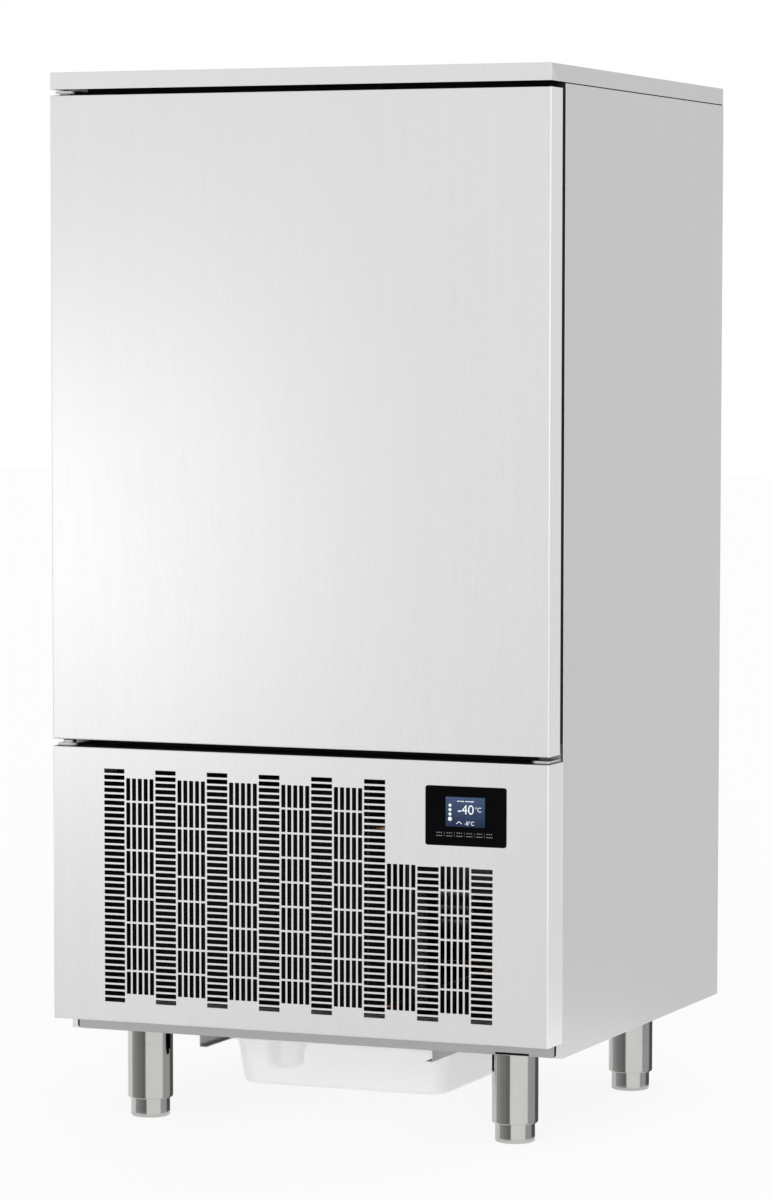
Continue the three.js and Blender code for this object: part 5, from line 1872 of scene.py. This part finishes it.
@dataclass
class Chamber(Assembly):
    """The racks for trays and the fittings in the chamber's walls. Outlines in millimetres."""

    upright: float = 14 * MM
    ledge: float = 24 * MM
    sheet: float = 1.5 * MM
    levels: int = 10
    pitch: float = 80 * MM
    first: float = 70 * MM
    inset: float = 30 * MM
    hook: float = 8 * MM
    inlet: Outline = ((4, 1), (5, 0), (12.5, 0), (14, 1.5), (14, 4), (8, 4))
    drain_top: Outline = ((14, -2), (24, -2), (24, -1.2), (22.5, 0), (14, 0), (11, -1.6))

    def build(self) -> None:
        """Makes the racks, the gland for the core probe's lead, and the flanged drain pipe."""
        self.racks()
        box = Box.of("probe_gland")
        rim, tip = box.low.x, box.high.x
        outline = turned((rim, self.inlet), (tip, ((8, 0), (4, 0))), (rim, self.inlet[:1]))
        gland = self.bench.lathe("probe_inlet", outline, box.middle, Axis.X)
        self.fit(gland, GREY_PLASTIC, "probe_gland")
        box = Box.of("drain_pipe")
        low, end = box.low.z, ((11, 0), (14, 0))
        outline = turned((low, end), (box.high.z, self.drain_top), (low, end[:1]))
        drain = self.bench.lathe("drain", outline, box.middle)
        self.fit(drain, GREY_PLASTIC, "drain_pipe")

    def racks(self) -> None:
        """Flat ledges welded to two uprights, hooked to the wall."""
        box, make = Box.of("right_tray_rack"), self.bench
        first = Box.of("chamber_liner").low.z + MM + self.first
        x, half = box.low.x + self.ledge - MM, self.upright / 2
        low = (box.low.x, box.low.y, first - self.sheet)
        ledge = make.block("ledge", low, (x + MM, box.high.y, first))
        make.round_off(ledge, 8 * MM, both(running(Axis.Z), lying(Axis.X, box.low.x)), 5)
        make.soften(ledge, 0.3 * MM, 1)
        make.repeat(ledge, self.levels, (0, 0, self.pitch))
        parts = []
        for y in (box.low.y + self.inset, box.high.y - self.inset):
            low, high = (x, y - half, box.low.z), (x + self.upright, y + half, box.high.z)
            bar = make.block("upright", low, high)
            make.round_off(bar, 2 * MM, running(Axis.Z), 3)
            make.soften(bar, 0.4 * MM)
            parts.append(bar)
            for z in (first, first + (self.levels - 1) * self.pitch):
                low = (x + self.upright - MM, y - half, z - self.hook)
                high = (box.high.x, y + half, z + self.hook)
                parts.append(make.block("hook", low, high, 1.2 * MM, 3))
        right = make.join(ledge, *parts)
        right.name = "right_rack"
        self.pair(right, "rack", CHAMBER, "tray_rack")


@dataclass
class Fan(Assembly):
    """A rotor, its motor and, in the chamber, its guard. The outlines are in millimetres."""

    panel: float = 0.0
    radius: float = 125 * MM
    clearance: float = 6 * MM
    blades: int = 5
    root: float = 29 * MM
    depth: float = 36 * MM
    pitch: float = 28.0
    twist: float = 14.0
    chord: float = 62 * MM
    arms: int = 4
    arm: Point = (14 * MM, 4 * MM)
    rim: Outline = ((4, 1), (2.6, 0), (1.2, 0), (0, 1.4))
    wires: int = 8
    bars: int = 3
    hub: Outline = (
        *((0, 0), (20.4, 0), (29.24, 1.6), (34, 6), (34, 35), (33, 36), (30, 36), (30, 9)),
        *((10.5, 9), (10.5, 36), (5.5, 36), (5.5, 11.7), (0, 11.7)),
    )
    body: Outline = (
        *((0, -30), (4.2, -30), (5, -29.2), (5, 0), (14, 0), (34, 1), (40, 5), (42, 10)),
        *((42, 22), (40, 23), (40, 37), (42, 38), (42, 52), (38, 58), (30, 60), (0, 60)),
    )

    def rotor(self, name: str, node: str, body: str) -> None:
        """A hub with twisted blades.

        Args:
            name: The piece's name.
            node: The CAD rotor.
            body: The body that turns.
        """
        make, middle, front = self.bench, self._middle(node), self.panel - 8 * MM
        rotor = make.lathe(name, turned((front, self.hub)), middle, Axis.Y, 64)
        middle.y = front + self.depth / 2
        blade = self._blade(middle)
        others = [
            make.copy(blade, "blade", turn=step * FULL_TURN / self.blades, about=middle)
            for step in range(1, self.blades)
        ]
        self.fit(make.join(rotor, blade, *others), BLACK_PLASTIC, node, body=body)

    def _middle(self, node: str) -> Vector:
        """The middle of the fan's motor, whose box is the same all round."""
        return Box.of(node.replace("rotor", "motor")).middle

    def _blade(self, middle: Vector) -> Piece:
        """One blade, drawn out from the hub, twisted, and wider towards its tip.

        Args:
            middle: The rotor's middle.

        Returns:
            The blade.
        """
        make, root, tip = self.bench, self.root, self.radius - 2.5 * MM
        bpy.ops.object.select_all(action="DESELECT")
        bpy.ops.mesh.primitive_grid_add(x_subdivisions=12, y_subdivisions=8, size=1)
        blade = make.added("blade")
        blade.scale = (tip - root, self.chord, 1)
        make.settle(blade)
        for vertex in blade.data.vertices:
            along, across = vertex.co.x / (tip - root) + 0.5, vertex.co.y / self.chord
            vertex.co.y *= 0.74 + 0.5 * along - 0.25 * max(0.0, along - 0.6) ** 2
            vertex.co.z = 0.09 * self.chord * (0.25 - across**2)
        twist = {"deform_axis": "X", "angle": -math.radians(self.twist)}
        make.modify(blade, "SIMPLE_DEFORM", deform_method="TWIST", **twist)
        make.thicken(blade, 1.8 * MM)
        blade.rotation_euler = (-math.radians(self.pitch), 0, 0)
        blade.location = ((root + tip) / 2, 0, 0)
        make.settle(blade)
        blade.rotation_euler = (QUARTER_TURN, 0, 0)
        blade.location = middle
        make.settle(blade)
        make.soften(blade, 0.5 * MM)
        return blade

    def _star(self, bar: Piece, middle: Vector, turns: Sequence[float]) -> list[Piece]:
        """Copies of a bar that point away from the fan's axis, in the bar's place.

        Args:
            bar: The bar, as if the axis went through the frame's origin.
            middle: A point of the axis.
            turns: How far each copy is turned.

        Returns:
            The copies.
        """
        spot = (middle.x, 0, middle.z)
        copies = [self.bench.copy(bar, bar.name, offset=spot, turn=turn) for turn in turns]
        bpy.data.objects.remove(bar)
        return copies

    def motor(self, name: str, node: str) -> None:
        """A motor with ribbed body, on four arms.

        Args:
            name: The piece's name.
            node: The CAD motor.
        """
        make, middle, back = self.bench, self._middle(node), self.panel + 34 * MM
        motor = make.lathe(name, turned((back, self.body)), middle, Axis.Y, 48)
        rim = self.radius + self.clearance + 20 * MM
        (wide, thick), foot = self.arm, self.panel + 1.5 * MM
        high = (rim, back + thick, wide / 2)
        bar = make.block("arm", (21 * MM, back, -wide / 2), high)
        make.fuse(bar, make.block("foot", (rim - 4 * MM, foot, -wide / 2), high))
        make.soften(bar, MM)
        turns = [-(step + 0.5) / self.arms * FULL_TURN for step in range(self.arms)]
        self.fit(make.join(motor, *self._star(bar, middle, turns)), BLACK_PAINT_AND_SHADE, node)

    def guard(self, name: str, node: str) -> None:
        """A wire guard: hoops on the bars, and a rim that stands on the panel.

        Args:
            name: The piece's name.
            node: The CAD guard.
        """
        make, box = self.bench, Box.of(node)
        outer, front, back = box.size.x / 2, box.low.y, box.high.y
        rim = [(outer - inset * MM, front + height * MM) for inset, height in self.rim]
        rim += [(outer, back), (outer - 4 * MM, back), rim[0]]
        guard = make.lathe(name, rim, box.middle, Axis.Y, 72)
        middle = (box.middle.x, front + 2.9 * MM, box.middle.z)
        wires, facets = [], {"major_segments": 72, "minor_segments": 8}
        for step in range(1, self.wires + 1):
            bpy.ops.object.select_all(action="DESELECT")
            bpy.ops.mesh.primitive_torus_add(
                location=middle,
                rotation=(QUARTER_TURN, 0, 0),
                major_radius=outer * step / (self.wires + 1),
                minor_radius=1.1 * MM,
                **facets,
            )
            wires.append(make.settle(make.added("wire")))
            bpy.ops.object.shade_smooth()
        reach = outer - 2 * MM
        bar = make.rod("bar", 1.2 * MM, (-reach, reach), (0, front + 1.2 * MM, 0), Axis.X)
        turns = [-step * math.pi / self.bars for step in range(self.bars)]
        wires += self._star(bar, box.middle, turns)
        self.fit(make.join(guard, *wires), BRACKET, node)


@dataclass
class AirCooler(Assembly):
    """The fan panel, its two fans and the coil behind it."""

    sheet: float = 1.2 * MM
    margin: float = 41 * MM
    fold: float = 2 * MM
    opening: float = 131 * MM
    tab: float = 20 * MM
    coil_length: float = 500 * MM
    fin: float = 0.5 * MM
    fin_pitch: float = 4 * MM
    plate: float = 3 * MM
    bends: int = 6
    tube: float = 6 * MM
    bend: float = 22 * MM

    def build(self) -> None:
        """Makes the air cooler."""
        face = Box.of("fan_panel").low.y
        self.panel(face)
        for name in (level.value for level in Level):
            fan = Fan(self.bench, panel=face)
            fan.rotor(f"{name}_blades", f"{name}_fan_rotor", f"{name}_fan")
            fan.motor(f"{name}_motor", f"{name}_fan_motor")
            fan.guard(f"{name}_guard", f"{name}_fan_guard")
        self.coil()

    def panel(self, face: float) -> None:
        """The sheet with two openings, folded back along its top and bottom.

        Args:
            face: Where its face is.
        """
        box, liner, make = Box.of("fan_panel"), Box.of("chamber_liner"), self.bench
        low, high = liner.low.z + self.margin, liner.high.z - self.margin
        fold, back, corner = self.fold, box.high.y, 0.3 * self.fold
        upper = [(back, high), (face + fold, high), (face + corner, high - corner)]
        lower = [(face + corner, low + corner), (face + fold, low), (back, low)]
        outline = [*upper, (face, high - fold), (face, low + fold), *lower]
        line = [(box.low.x, y, z) for y, z in outline]
        panel = make.folded("fan_sheet", line, (box.size.x, 0, 0), self.sheet, TO_FRONT)
        holes = []
        for level in Level:
            middle = Box.of(f"{level.value}_fan_guard").middle
            span = (face - 4 * MM, face + 6 * MM)
            holes.append(make.rod("hole", self.opening, span, middle, Axis.Y, 96))
        make.cut(panel, *holes)
        make.smooth(panel)
        tabs, place = [], box.high.x - 2 * self.tab
        for x in (-place, place):
            for foot, top in ((box.low.z, low + MM), (high - MM, box.high.z)):
                tab_high = (x + self.tab, face + 2 * self.sheet, top)
                tabs.append(make.block("tab", (x - self.tab, face, foot), tab_high, 0.4 * MM))
        self.fit(make.join(panel, *tabs), CHAMBER, "fan_panel")

    def coil(self) -> None:
        """Fins between two end plates, with the tubes' return bends."""
        box, make = Box.of("evaporator_coil"), self.bench
        half, plate = self.coil_length / 2, self.plate
        low = Vector((-half, box.low.y + 10 * MM, box.low.z + 10 * MM))
        high = Vector((-half + self.fin, box.high.y - 9.7 * MM, box.high.z - 10 * MM))
        fin = make.block("cooler_fins", low, high)
        make.repeat(fin, round(self.coil_length / self.fin_pitch), (self.fin_pitch, 0, 0))
        ends = make.end_plates(box, (-half - plate, half), plate, 0.5 * MM)
        self.fit(make.join(fin, *ends), FINS, "evaporator_coil")
        step = (high.z - low.z) / self.bends
        start, end = half - 4 * MM, half + plate + self.bend
        tubes = []
        for y in (low.y + 25 * MM, high.y - 25 * MM):
            for number in range(self.bends):
                z = low.z + (number + 0.5) * step
                foot, top = z - self.bend, z + self.bend
                corners = [(start, y, foot), (end, y, foot), (end, y, top), (start, y, top)]
                tubes.append(make.tube("bend", corners, self.tube, self.bend))
        bends = make.join(*tubes)
        bends.name = "return_bends"
        self.fit(bends, COPPER)


@dataclass
class CondensingUnit(Assembly):
    """What stands in the machine compartment. The outlines are in millimetres."""

    sheet: float = 1.2 * MM
    fin: float = 0.5 * MM
    fin_pitch: float = 4 * MM
    plate: float = 2 * MM
    rows: int = 12
    tube: float = 4.5 * MM
    opening: float = 146 * MM
    fan: float = 140 * MM
    pot_foot: float = 72 * MM
    pot: float = 90 * MM
    dome: float = 40 * MM
    seam: float = 120 * MM
    foot_spread: float = 88 * MM
    foot: Outline = ((0, 0), (9, 0), (11, 2), (8.5, 7), (11, 12), (9, 14), (0, 14))
    stand: Outline = ((0, 6), (39, 6), (39, 0), (42, 0))
    gland_foot: Outline = ((7, 1), (8, 0), (12.5, 0), (13.6, 1.5))
    gland_neck: Outline = ((13.6, -0.3), (12, -0.3), (12, 1.5), (13.6, 1.5))
    gland_head: Outline = ((13.6, -1), (12.6, 0), (7, 0))

    def build(self) -> None:
        """Makes the condenser, its fan, the compressor, the receiver and the electrical box."""
        self.condenser()
        self.shroud()
        self.compressor()
        self.receiver()
        self.electrics()
        self.cable_gland()

    def condenser(self) -> None:
        """Fins behind the slots, painted black as shade in the compartment, between two end
        plates.
        """
        box, make, plate = Box.of("condenser_coil"), self.bench, self.plate
        low = box.low + Vector((plate, plate, 8.2 * MM))
        high = box.high - Vector((plate, plate, 3 * MM))
        fin = make.block("condenser_fins", low, (low.x + self.fin, high.y, high.z))
        make.repeat(fin, int((high.x - low.x) / self.fin_pitch), (self.fin_pitch, 0, 0))
        tubes, pitch = [], (high.z - low.z) / self.rows
        for row in range(self.rows):
            z = low.z + (row + 0.5) * pitch
            for y in (low.y + 16 * MM, high.y - 16 * MM):
                tubes.append(make.rod("tube", self.tube, (low.x, high.x), (0, y, z), Axis.X))
        ends = make.end_plates(box, (box.low.x, box.high.x - plate), plate, 0.4 * MM)
        self.fit(make.join(fin, *tubes, *ends), FINS_PAINTED_SHADE, "condenser_coil")

    def shroud(self) -> None:
        """The box that the fan draws through, with the fan on its back."""
        box, make = Box.of("fan_shroud"), self.bench
        shroud = make.tub("air_shroud", box.low, box.high, TO_FRONT, (3 * MM, 3), self.sheet)
        wall = box.high.y - self.sheet
        middle = Box.of("condenser_fan_motor").middle
        span = (wall - 4 * MM, wall + 6 * MM)
        make.cut(shroud, make.rod("hole", self.opening, span, middle, Axis.Y, 96))
        make.smooth(shroud)
        # Black: painted shade behind the slots.
        self.fit(shroud, BLACK_PAINT_AND_SHADE, "fan_shroud")
        fan = Fan(self.bench, panel=wall, radius=self.fan)
        fan.rotor("condenser_blades", "condenser_fan_rotor", "condenser_fan")
        fan.motor("condenser_motor", "condenser_fan_motor")

    def compressor(self) -> None:
        """A welded pot on a plate with four feet."""
        box, make = Box.of("compressor"), self.bench
        plate, top, radius, foot = box.low.z + 14 * MM, box.high.z, self.pot, self.pot_foot
        base = plate + 4 * MM
        seam, lip = base + self.seam, radius + 3 * MM
        outline = [(0, base - MM), (foot, base - MM)]
        outline += bulge((foot, base), (radius, base + 24 * MM), 6, rising=False)
        outline += [(radius, seam - 4 * MM), (lip, seam - 3 * MM)]
        outline += [(lip, seam + 3 * MM), (radius, seam + 4 * MM)]
        outline += bulge((radius, top - self.dome), (0, top), 8, rising=True)
        shell = make.lathe("compressor_pot", outline, box.middle, steps=64)
        low, high = (box.low.x, box.low.y, plate), (box.high.x, box.high.y, base)
        tray = make.block("plate", low, high)
        make.round_off(tray, 18 * MM, running(Axis.Z), 6)
        make.soften(tray, 0.6 * MM)
        feet, spread = [], (-self.foot_spread, self.foot_spread)
        for place in (Vector((dx, dy, 0)) for dx in spread for dy in spread):
            outline = turned((box.low.z, self.foot))
            feet.append(make.lathe("foot", outline, box.middle + place))
        self.fit(make.join(shell, tray, *feet), BLACK_PAINT_AND_SHADE, "compressor")

    def receiver(self) -> None:
        """The liquid receiver, an upright vessel on a ring."""
        box, make = Box.of("liquid_receiver"), self.bench
        low, high, (ring, wide, port) = box.low.z, box.high.z, (42 * MM, 52 * MM, 15 * MM)
        outline = turned((low, self.stand))
        outline += bulge((ring, low + 20 * MM), (wide, low + 38 * MM), 5, rising=False)
        outline += bulge((wide, high - 18 * MM), (port, high), 7, rising=True)
        outline.append((0, high))
        vessel = make.lathe("receiver_vessel", outline, box.middle, steps=64)
        self.fit(vessel, BLACK_PAINT_AND_SHADE, "liquid_receiver")

    def electrics(self) -> None:
        """The sheet box for the electrical parts, open towards the front panel."""
        box, make = Box.of("electrical_box"), self.bench
        case = make.tub("electrics_case", box.low, box.high, TO_FRONT, (2 * MM, 3), self.sheet)
        make.smooth(case)
        # Black: painted shade behind the slots.
        self.fit(case, BLACK_PAINT_AND_SHADE, "electrical_box")

    def cable_gland(self) -> None:
        """The gland for the mains lead, through the floor pan."""
        box, pan = Box.of("cable_gland"), Box.of("base_pan").low.z
        low, high = (box.low.z, self.gland_foot), (box.high.z, self.gland_head)
        outline = turned(low, (pan, self.gland_neck), high, (box.low.z, self.gland_foot[:1]))
        gland = self.bench.lathe("mains_gland", outline, box.middle, steps=36)
        self.fit(gland, BLACK_PLASTIC, "cable_gland")


@dataclass
class Pipework(Assembly):
    """The copper pipes of the refrigerant circuit."""

    bend: float = 30 * MM

    def build(self) -> None:
        """Bends the four pipes."""
        pot, top = Box.of("compressor").middle, Box.of("compressor").high.z + 0.3 * MM
        vessel, coil = Box.of("liquid_receiver"), Box.of("condenser_coil")
        hot, out = Box.of("discharge_pipe"), Box.of("condenser_outlet_pipe")
        liquid, cold = Box.of("liquid_pipe"), Box.of("suction_pipe")
        thin, thick, deep = THIN_PIPE, THICK_PIPE, coil.middle.y
        x, port, high, lane = hot.low.x, hot.low.z + thin, hot.high.z - thin, coil.high.x + 40 * MM
        corners = [(hot.high.x, pot.y, port), (lane, pot.y, port), (lane, pot.y, high)]
        corners += [(lane, deep, high), (x, deep, high)]
        self._bent("hot_gas_line", corners, thin, "discharge_pipe")
        lane, level, y = out.high.x - thin, out.middle.z, vessel.middle.y
        corners = [(x, deep, level), (lane, deep, level), (lane, y, level)]
        corners.append((vessel.high.x + 0.3 * MM, y, level))
        self._bent("condensate_line", corners, thin, "condenser_outlet_pipe")
        turn = Box.of("machine_deck").low.z - 130 * MM
        x, back = liquid.middle.x, liquid.high.y - thin
        corners = [(x, y, liquid.low.z), (x, y, turn), (x, back, turn), (x, back, liquid.high.z)]
        self._bent("liquid_line", corners, thin, "liquid_pipe")
        x, back = cold.low.x + thick, cold.high.y - thick
        corners = [(x, back, cold.high.z), (x, back, turn), (pot.x, back, turn)]
        corners += [(pot.x, pot.y, turn), (pot.x, pot.y, top)]
        self._bent("suction_line", corners, thick, "suction_pipe")

    def _bent(self, name: str, corners: Sequence[Point], radius: float, node: str) -> None:
        """One pipe, in the place of its CAD node."""
        self.fit(self.bench.tube(name, corners, radius, self.bend), COPPER, node)




# ------------------------------------------------------------------------------ studio


@dataclass(frozen=True)
class Card:
    """A sheet of light or a dark flag that only reflections see."""

    name: str
    strength: float
    low: Point
    high: Point


@dataclass
class Studio:
    """The camera, the pale floor and soft light from all sides.

    A lamp is given as azimuth, height and strength, and a band of light on a leg as its start
    and end across the leg, from -1 to 1, and its strength. A wedge is a dark band with the
    level that it starts at.
    """

    bench: Bench
    focal: float = 138.238
    shift: Point = (-0.03583, 0.0875)
    eye: Point = (2.81625, -6.86804, 1.25572)
    yaw: float = 21.88677
    pitch: float = 4.68967
    roll: float = 0.11294
    lamps: Outline = ((10, 14, 1.9), (70, 30, 0.5), (180, 40, 0.6))
    lamp_width: float = 70
    cards: Sequence[Card] = (
        Card("front_card", 1.8, (-3.6, -5.02, 0.05), (-2.2, -5.0, 1.25)),
        Card("corner_card", 1.36, (1.6, -4.52, 0.0), (4.0, -4.5, 2.6)),
        Card("rear_card", 0.72, (0.45, 0.85, 0.0), (2.4, 0.87, 2.4)),
    )
    pale: Colour = (0.94, 0.94, 0.94)
    paler: Colour = (0.96, 0.96, 0.96)
    floor_mirrored: float = 0.59
    floor_share: float = 0.88
    leg: float = 36 * MM
    ring: float = 56 * MM
    bands: Outline = (
        (-0.8, -0.68, 0.36),
        (-0.68, -0.56, 0.28),
        (-0.56, -0.4, 0.22),
        (-0.4, -0.22, 0.17),
        (-0.22, 0.54, 0.88),
        (0.54, 0.85, 0.42),
        (0.85, 1.0, 0.1),
    )
    wedges: Sequence[tuple[str, float, float, float]] = (
        ("front_left_leg", 0.67, 0.88, 105 * MM),
        ("front_left_leg", 0.7, 0.83, 97 * MM),
        ("front_right_leg", -1.0, -0.9, 105 * MM),
    )

    def build(self) -> None:
        """Sets the studio up."""
        self.camera()
        self.sky()
        self.lights()
        self.floor()
        for card in self.cards:
            self.flag(card)
        self.leg_flags()
        bpy.context.scene.view_settings.view_transform = "Standard"

    def camera(self) -> None:
        """The camera, where the photograph was taken from."""
        yaw, pitch, roll = (math.radians(turn) for turn in (self.yaw, self.pitch, self.roll))
        ahead = Vector((-math.sin(yaw) * math.cos(pitch), math.cos(yaw) * math.cos(pitch), 0))
        ahead.z = -math.sin(pitch)
        right = Vector((math.cos(yaw), math.sin(yaw), 0))
        up = right.cross(ahead)
        across = math.cos(roll) * right + math.sin(roll) * up
        upright = math.cos(roll) * up - math.sin(roll) * right
        data = bpy.data.cameras.new("camera")
        data.lens, data.sensor_width, data.sensor_fit = self.focal, 36, "AUTO"
        data.shift_x, data.shift_y = self.shift
        data.clip_end = 100
        camera = bpy.data.objects.new("camera", data)
        bpy.context.scene.collection.objects.link(camera)
        turn = Matrix((across, upright, -ahead)).transposed().to_4x4()
        camera.matrix_world = Matrix.Translation(Vector(self.eye)) @ turn
        bpy.context.scene.camera = camera

    def _seen(self, graph: Graph, mirrored: float = 1.0) -> Value:
        """What a ray is for.

        Args:
            graph: The node tree.
            mirrored: What a ray from a mirror counts.

        Returns:
            1 for a ray from the camera or through glass, and 0 for light.
        """
        rays = [
            graph.node("ShaderNodeLightPath", output=name)
            for name in ("Is Camera Ray", "Is Glossy Ray", "Is Transmission Ray")
        ]
        return rays[0].larger(rays[1] * mirrored).larger(rays[2])

    def sky(self) -> None:
        """White behind the object, and soft light on it."""
        world = bpy.data.worlds.new("studio")
        world.use_nodes = True
        bpy.context.scene.world = world
        graph = Graph(world.node_tree)
        sky = world.node_tree.nodes["Background"]
        sky.inputs["Color"].default_value = (1, 1, 1, 1)
        graph.feed(sky.inputs["Strength"], 0.5 + self._seen(graph) * 0.5)

    def lights(self) -> None:
        """Wide soft lamps in front, at the side and behind."""
        for number, (azimuth, height, power) in enumerate(self.lamps):
            data = bpy.data.lights.new(f"lamp_{number}", "SUN")
            data.energy, data.angle = power, math.radians(self.lamp_width)
            lamp = bpy.data.objects.new(f"lamp_{number}", data)
            bpy.context.scene.collection.objects.link(lamp)
            turn, rise = math.radians(azimuth), math.radians(height)
            back = Vector((math.sin(turn) * math.cos(rise), -math.cos(turn) * math.cos(rise), 0))
            back.z = math.sin(rise)
            lamp.rotation_euler = back.to_track_quat("Z", "Y").to_euler()
            lamp.visible_glossy = False

    def floor(self) -> None:
        """A pale floor that keeps a faint shadow."""
        bpy.ops.object.select_all(action="DESELECT")
        bpy.ops.mesh.primitive_plane_add(size=60)
        floor = bpy.context.object
        floor.name = "studio_floor"
        graph = self._plain(floor)
        tone = graph.mix(graph.noise((90.0, 90.0, 90.0), 2), self.pale, self.paler)
        matt = graph.node("ShaderNodeBsdfDiffuse", inputs={"Color": tone})
        glow = graph.node("ShaderNodeEmission", inputs={"Color": (1.0, 1.0, 1.0), "Strength": 1.0})
        share = self._seen(graph, self.floor_mirrored) * self.floor_share
        blend = graph.node("ShaderNodeMixShader", inputs={0: share, 1: matt, 2: glow})
        graph.feed(graph.tree.nodes["Material Output"].inputs["Surface"], blend)

    def flag(self, card: Card) -> None:
        """A flat card that only shows in reflections."""
        self._glowing(self.bench.block(card.name, card.low, card.high), card.strength)

    def leg_flags(self) -> None:
        """Narrow flags round each leg, which give it the bands of light of a round bar."""
        for low, high, strength in self.bands:
            arcs = []
            for end in ("front", "rear"):
                for side in Side:
                    box = Box.of(f"{end}_{side.value}_leg")
                    arcs.append(self._arc(box, low, high, self.ring))
            self._glowing(self.bench.join(*arcs), strength)
        arcs = [
            self._arc(Box.of(node), low, high, self.ring - MM, foot)
            for node, low, high, foot in self.wedges
        ]
        self._glowing(self.bench.join(*arcs), 0.0)

    def _arc(
        self, leg: Box, low: float, high: float, ring: float, foot: float = 0.5 * MM
    ) -> Piece:
        """The part of a ring round a leg that shows between two places across its width.

        Args:
            leg: The leg's room.
            low: The first place, between -1 and 1.
            high: The last place.
            ring: The ring's radius.
            foot: The level that the part starts at.

        Returns:
            The part.
        """
        make, middle, radius = self.bench, leg.middle, self.leg
        view = math.atan2(self.eye[0] - middle.x, middle.y - self.eye[1])
        points = []
        for step in range(9):
            tilt = math.asin(low + (high - low) * step / 8)
            start = Vector((math.sin(view + tilt), -math.cos(view + tilt))) * radius
            ray = Vector((math.sin(view + 2 * tilt), -math.cos(view + 2 * tilt)))
            along = start.dot(ray)
            reach = math.sqrt(along**2 + ring**2 - radius**2) - along
            spot = start + ray * reach
            points.append((middle.x + spot.x, middle.y + spot.y, foot))
        arc = make.wire("arc", points)
        make.draw_out((0, 0, leg.high.z - 8 * MM - foot))
        make.done()
        return arc

    def _plain(self, piece: Piece) -> Graph:
        """Gives a piece of the studio a material without a shader.

        Args:
            piece: The piece.

        Returns:
            The material's graph.
        """
        material = bpy.data.materials.new(piece.name)
        material.use_nodes = True
        piece.data.materials.append(material)
        nodes = material.node_tree.nodes
        nodes.remove(nodes["Principled BSDF"])
        return Graph(material.node_tree)

    def _glowing(self, sheet: Piece, strength: float) -> None:
        """Makes a sheet an even light that only reflections show.

        Args:
            sheet: The sheet.
            strength: How bright it is.
        """
        graph = self._plain(sheet)
        glow = graph.node("ShaderNodeEmission", inputs={"Strength": strength})
        graph.feed(graph.tree.nodes["Material Output"].inputs["Surface"], glow)
        for ray in ("camera", "diffuse", "transmission", "shadow", "volume_scatter"):
            setattr(sheet, f"visible_{ray}", False)


def main() -> None:
    """Builds the studio and every assembly."""
    logging.basicConfig(level=logging.INFO, format="%(name)s %(message)s", stream=sys.stdout)
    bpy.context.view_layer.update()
    bench = Bench()
    Studio(bench).build()
    for kind in (
        CabinetShell,
        Door,
        FrontPanel,
        Controls,
        Hinges,
        Legs,
        DripTray,
        Chamber,
        AirCooler,
        CondensingUnit,
        Pipework,
    ):
        kind(bench).build()
        log.info("%s done", kind.__name__)


if __name__ == "__main__":
    main()
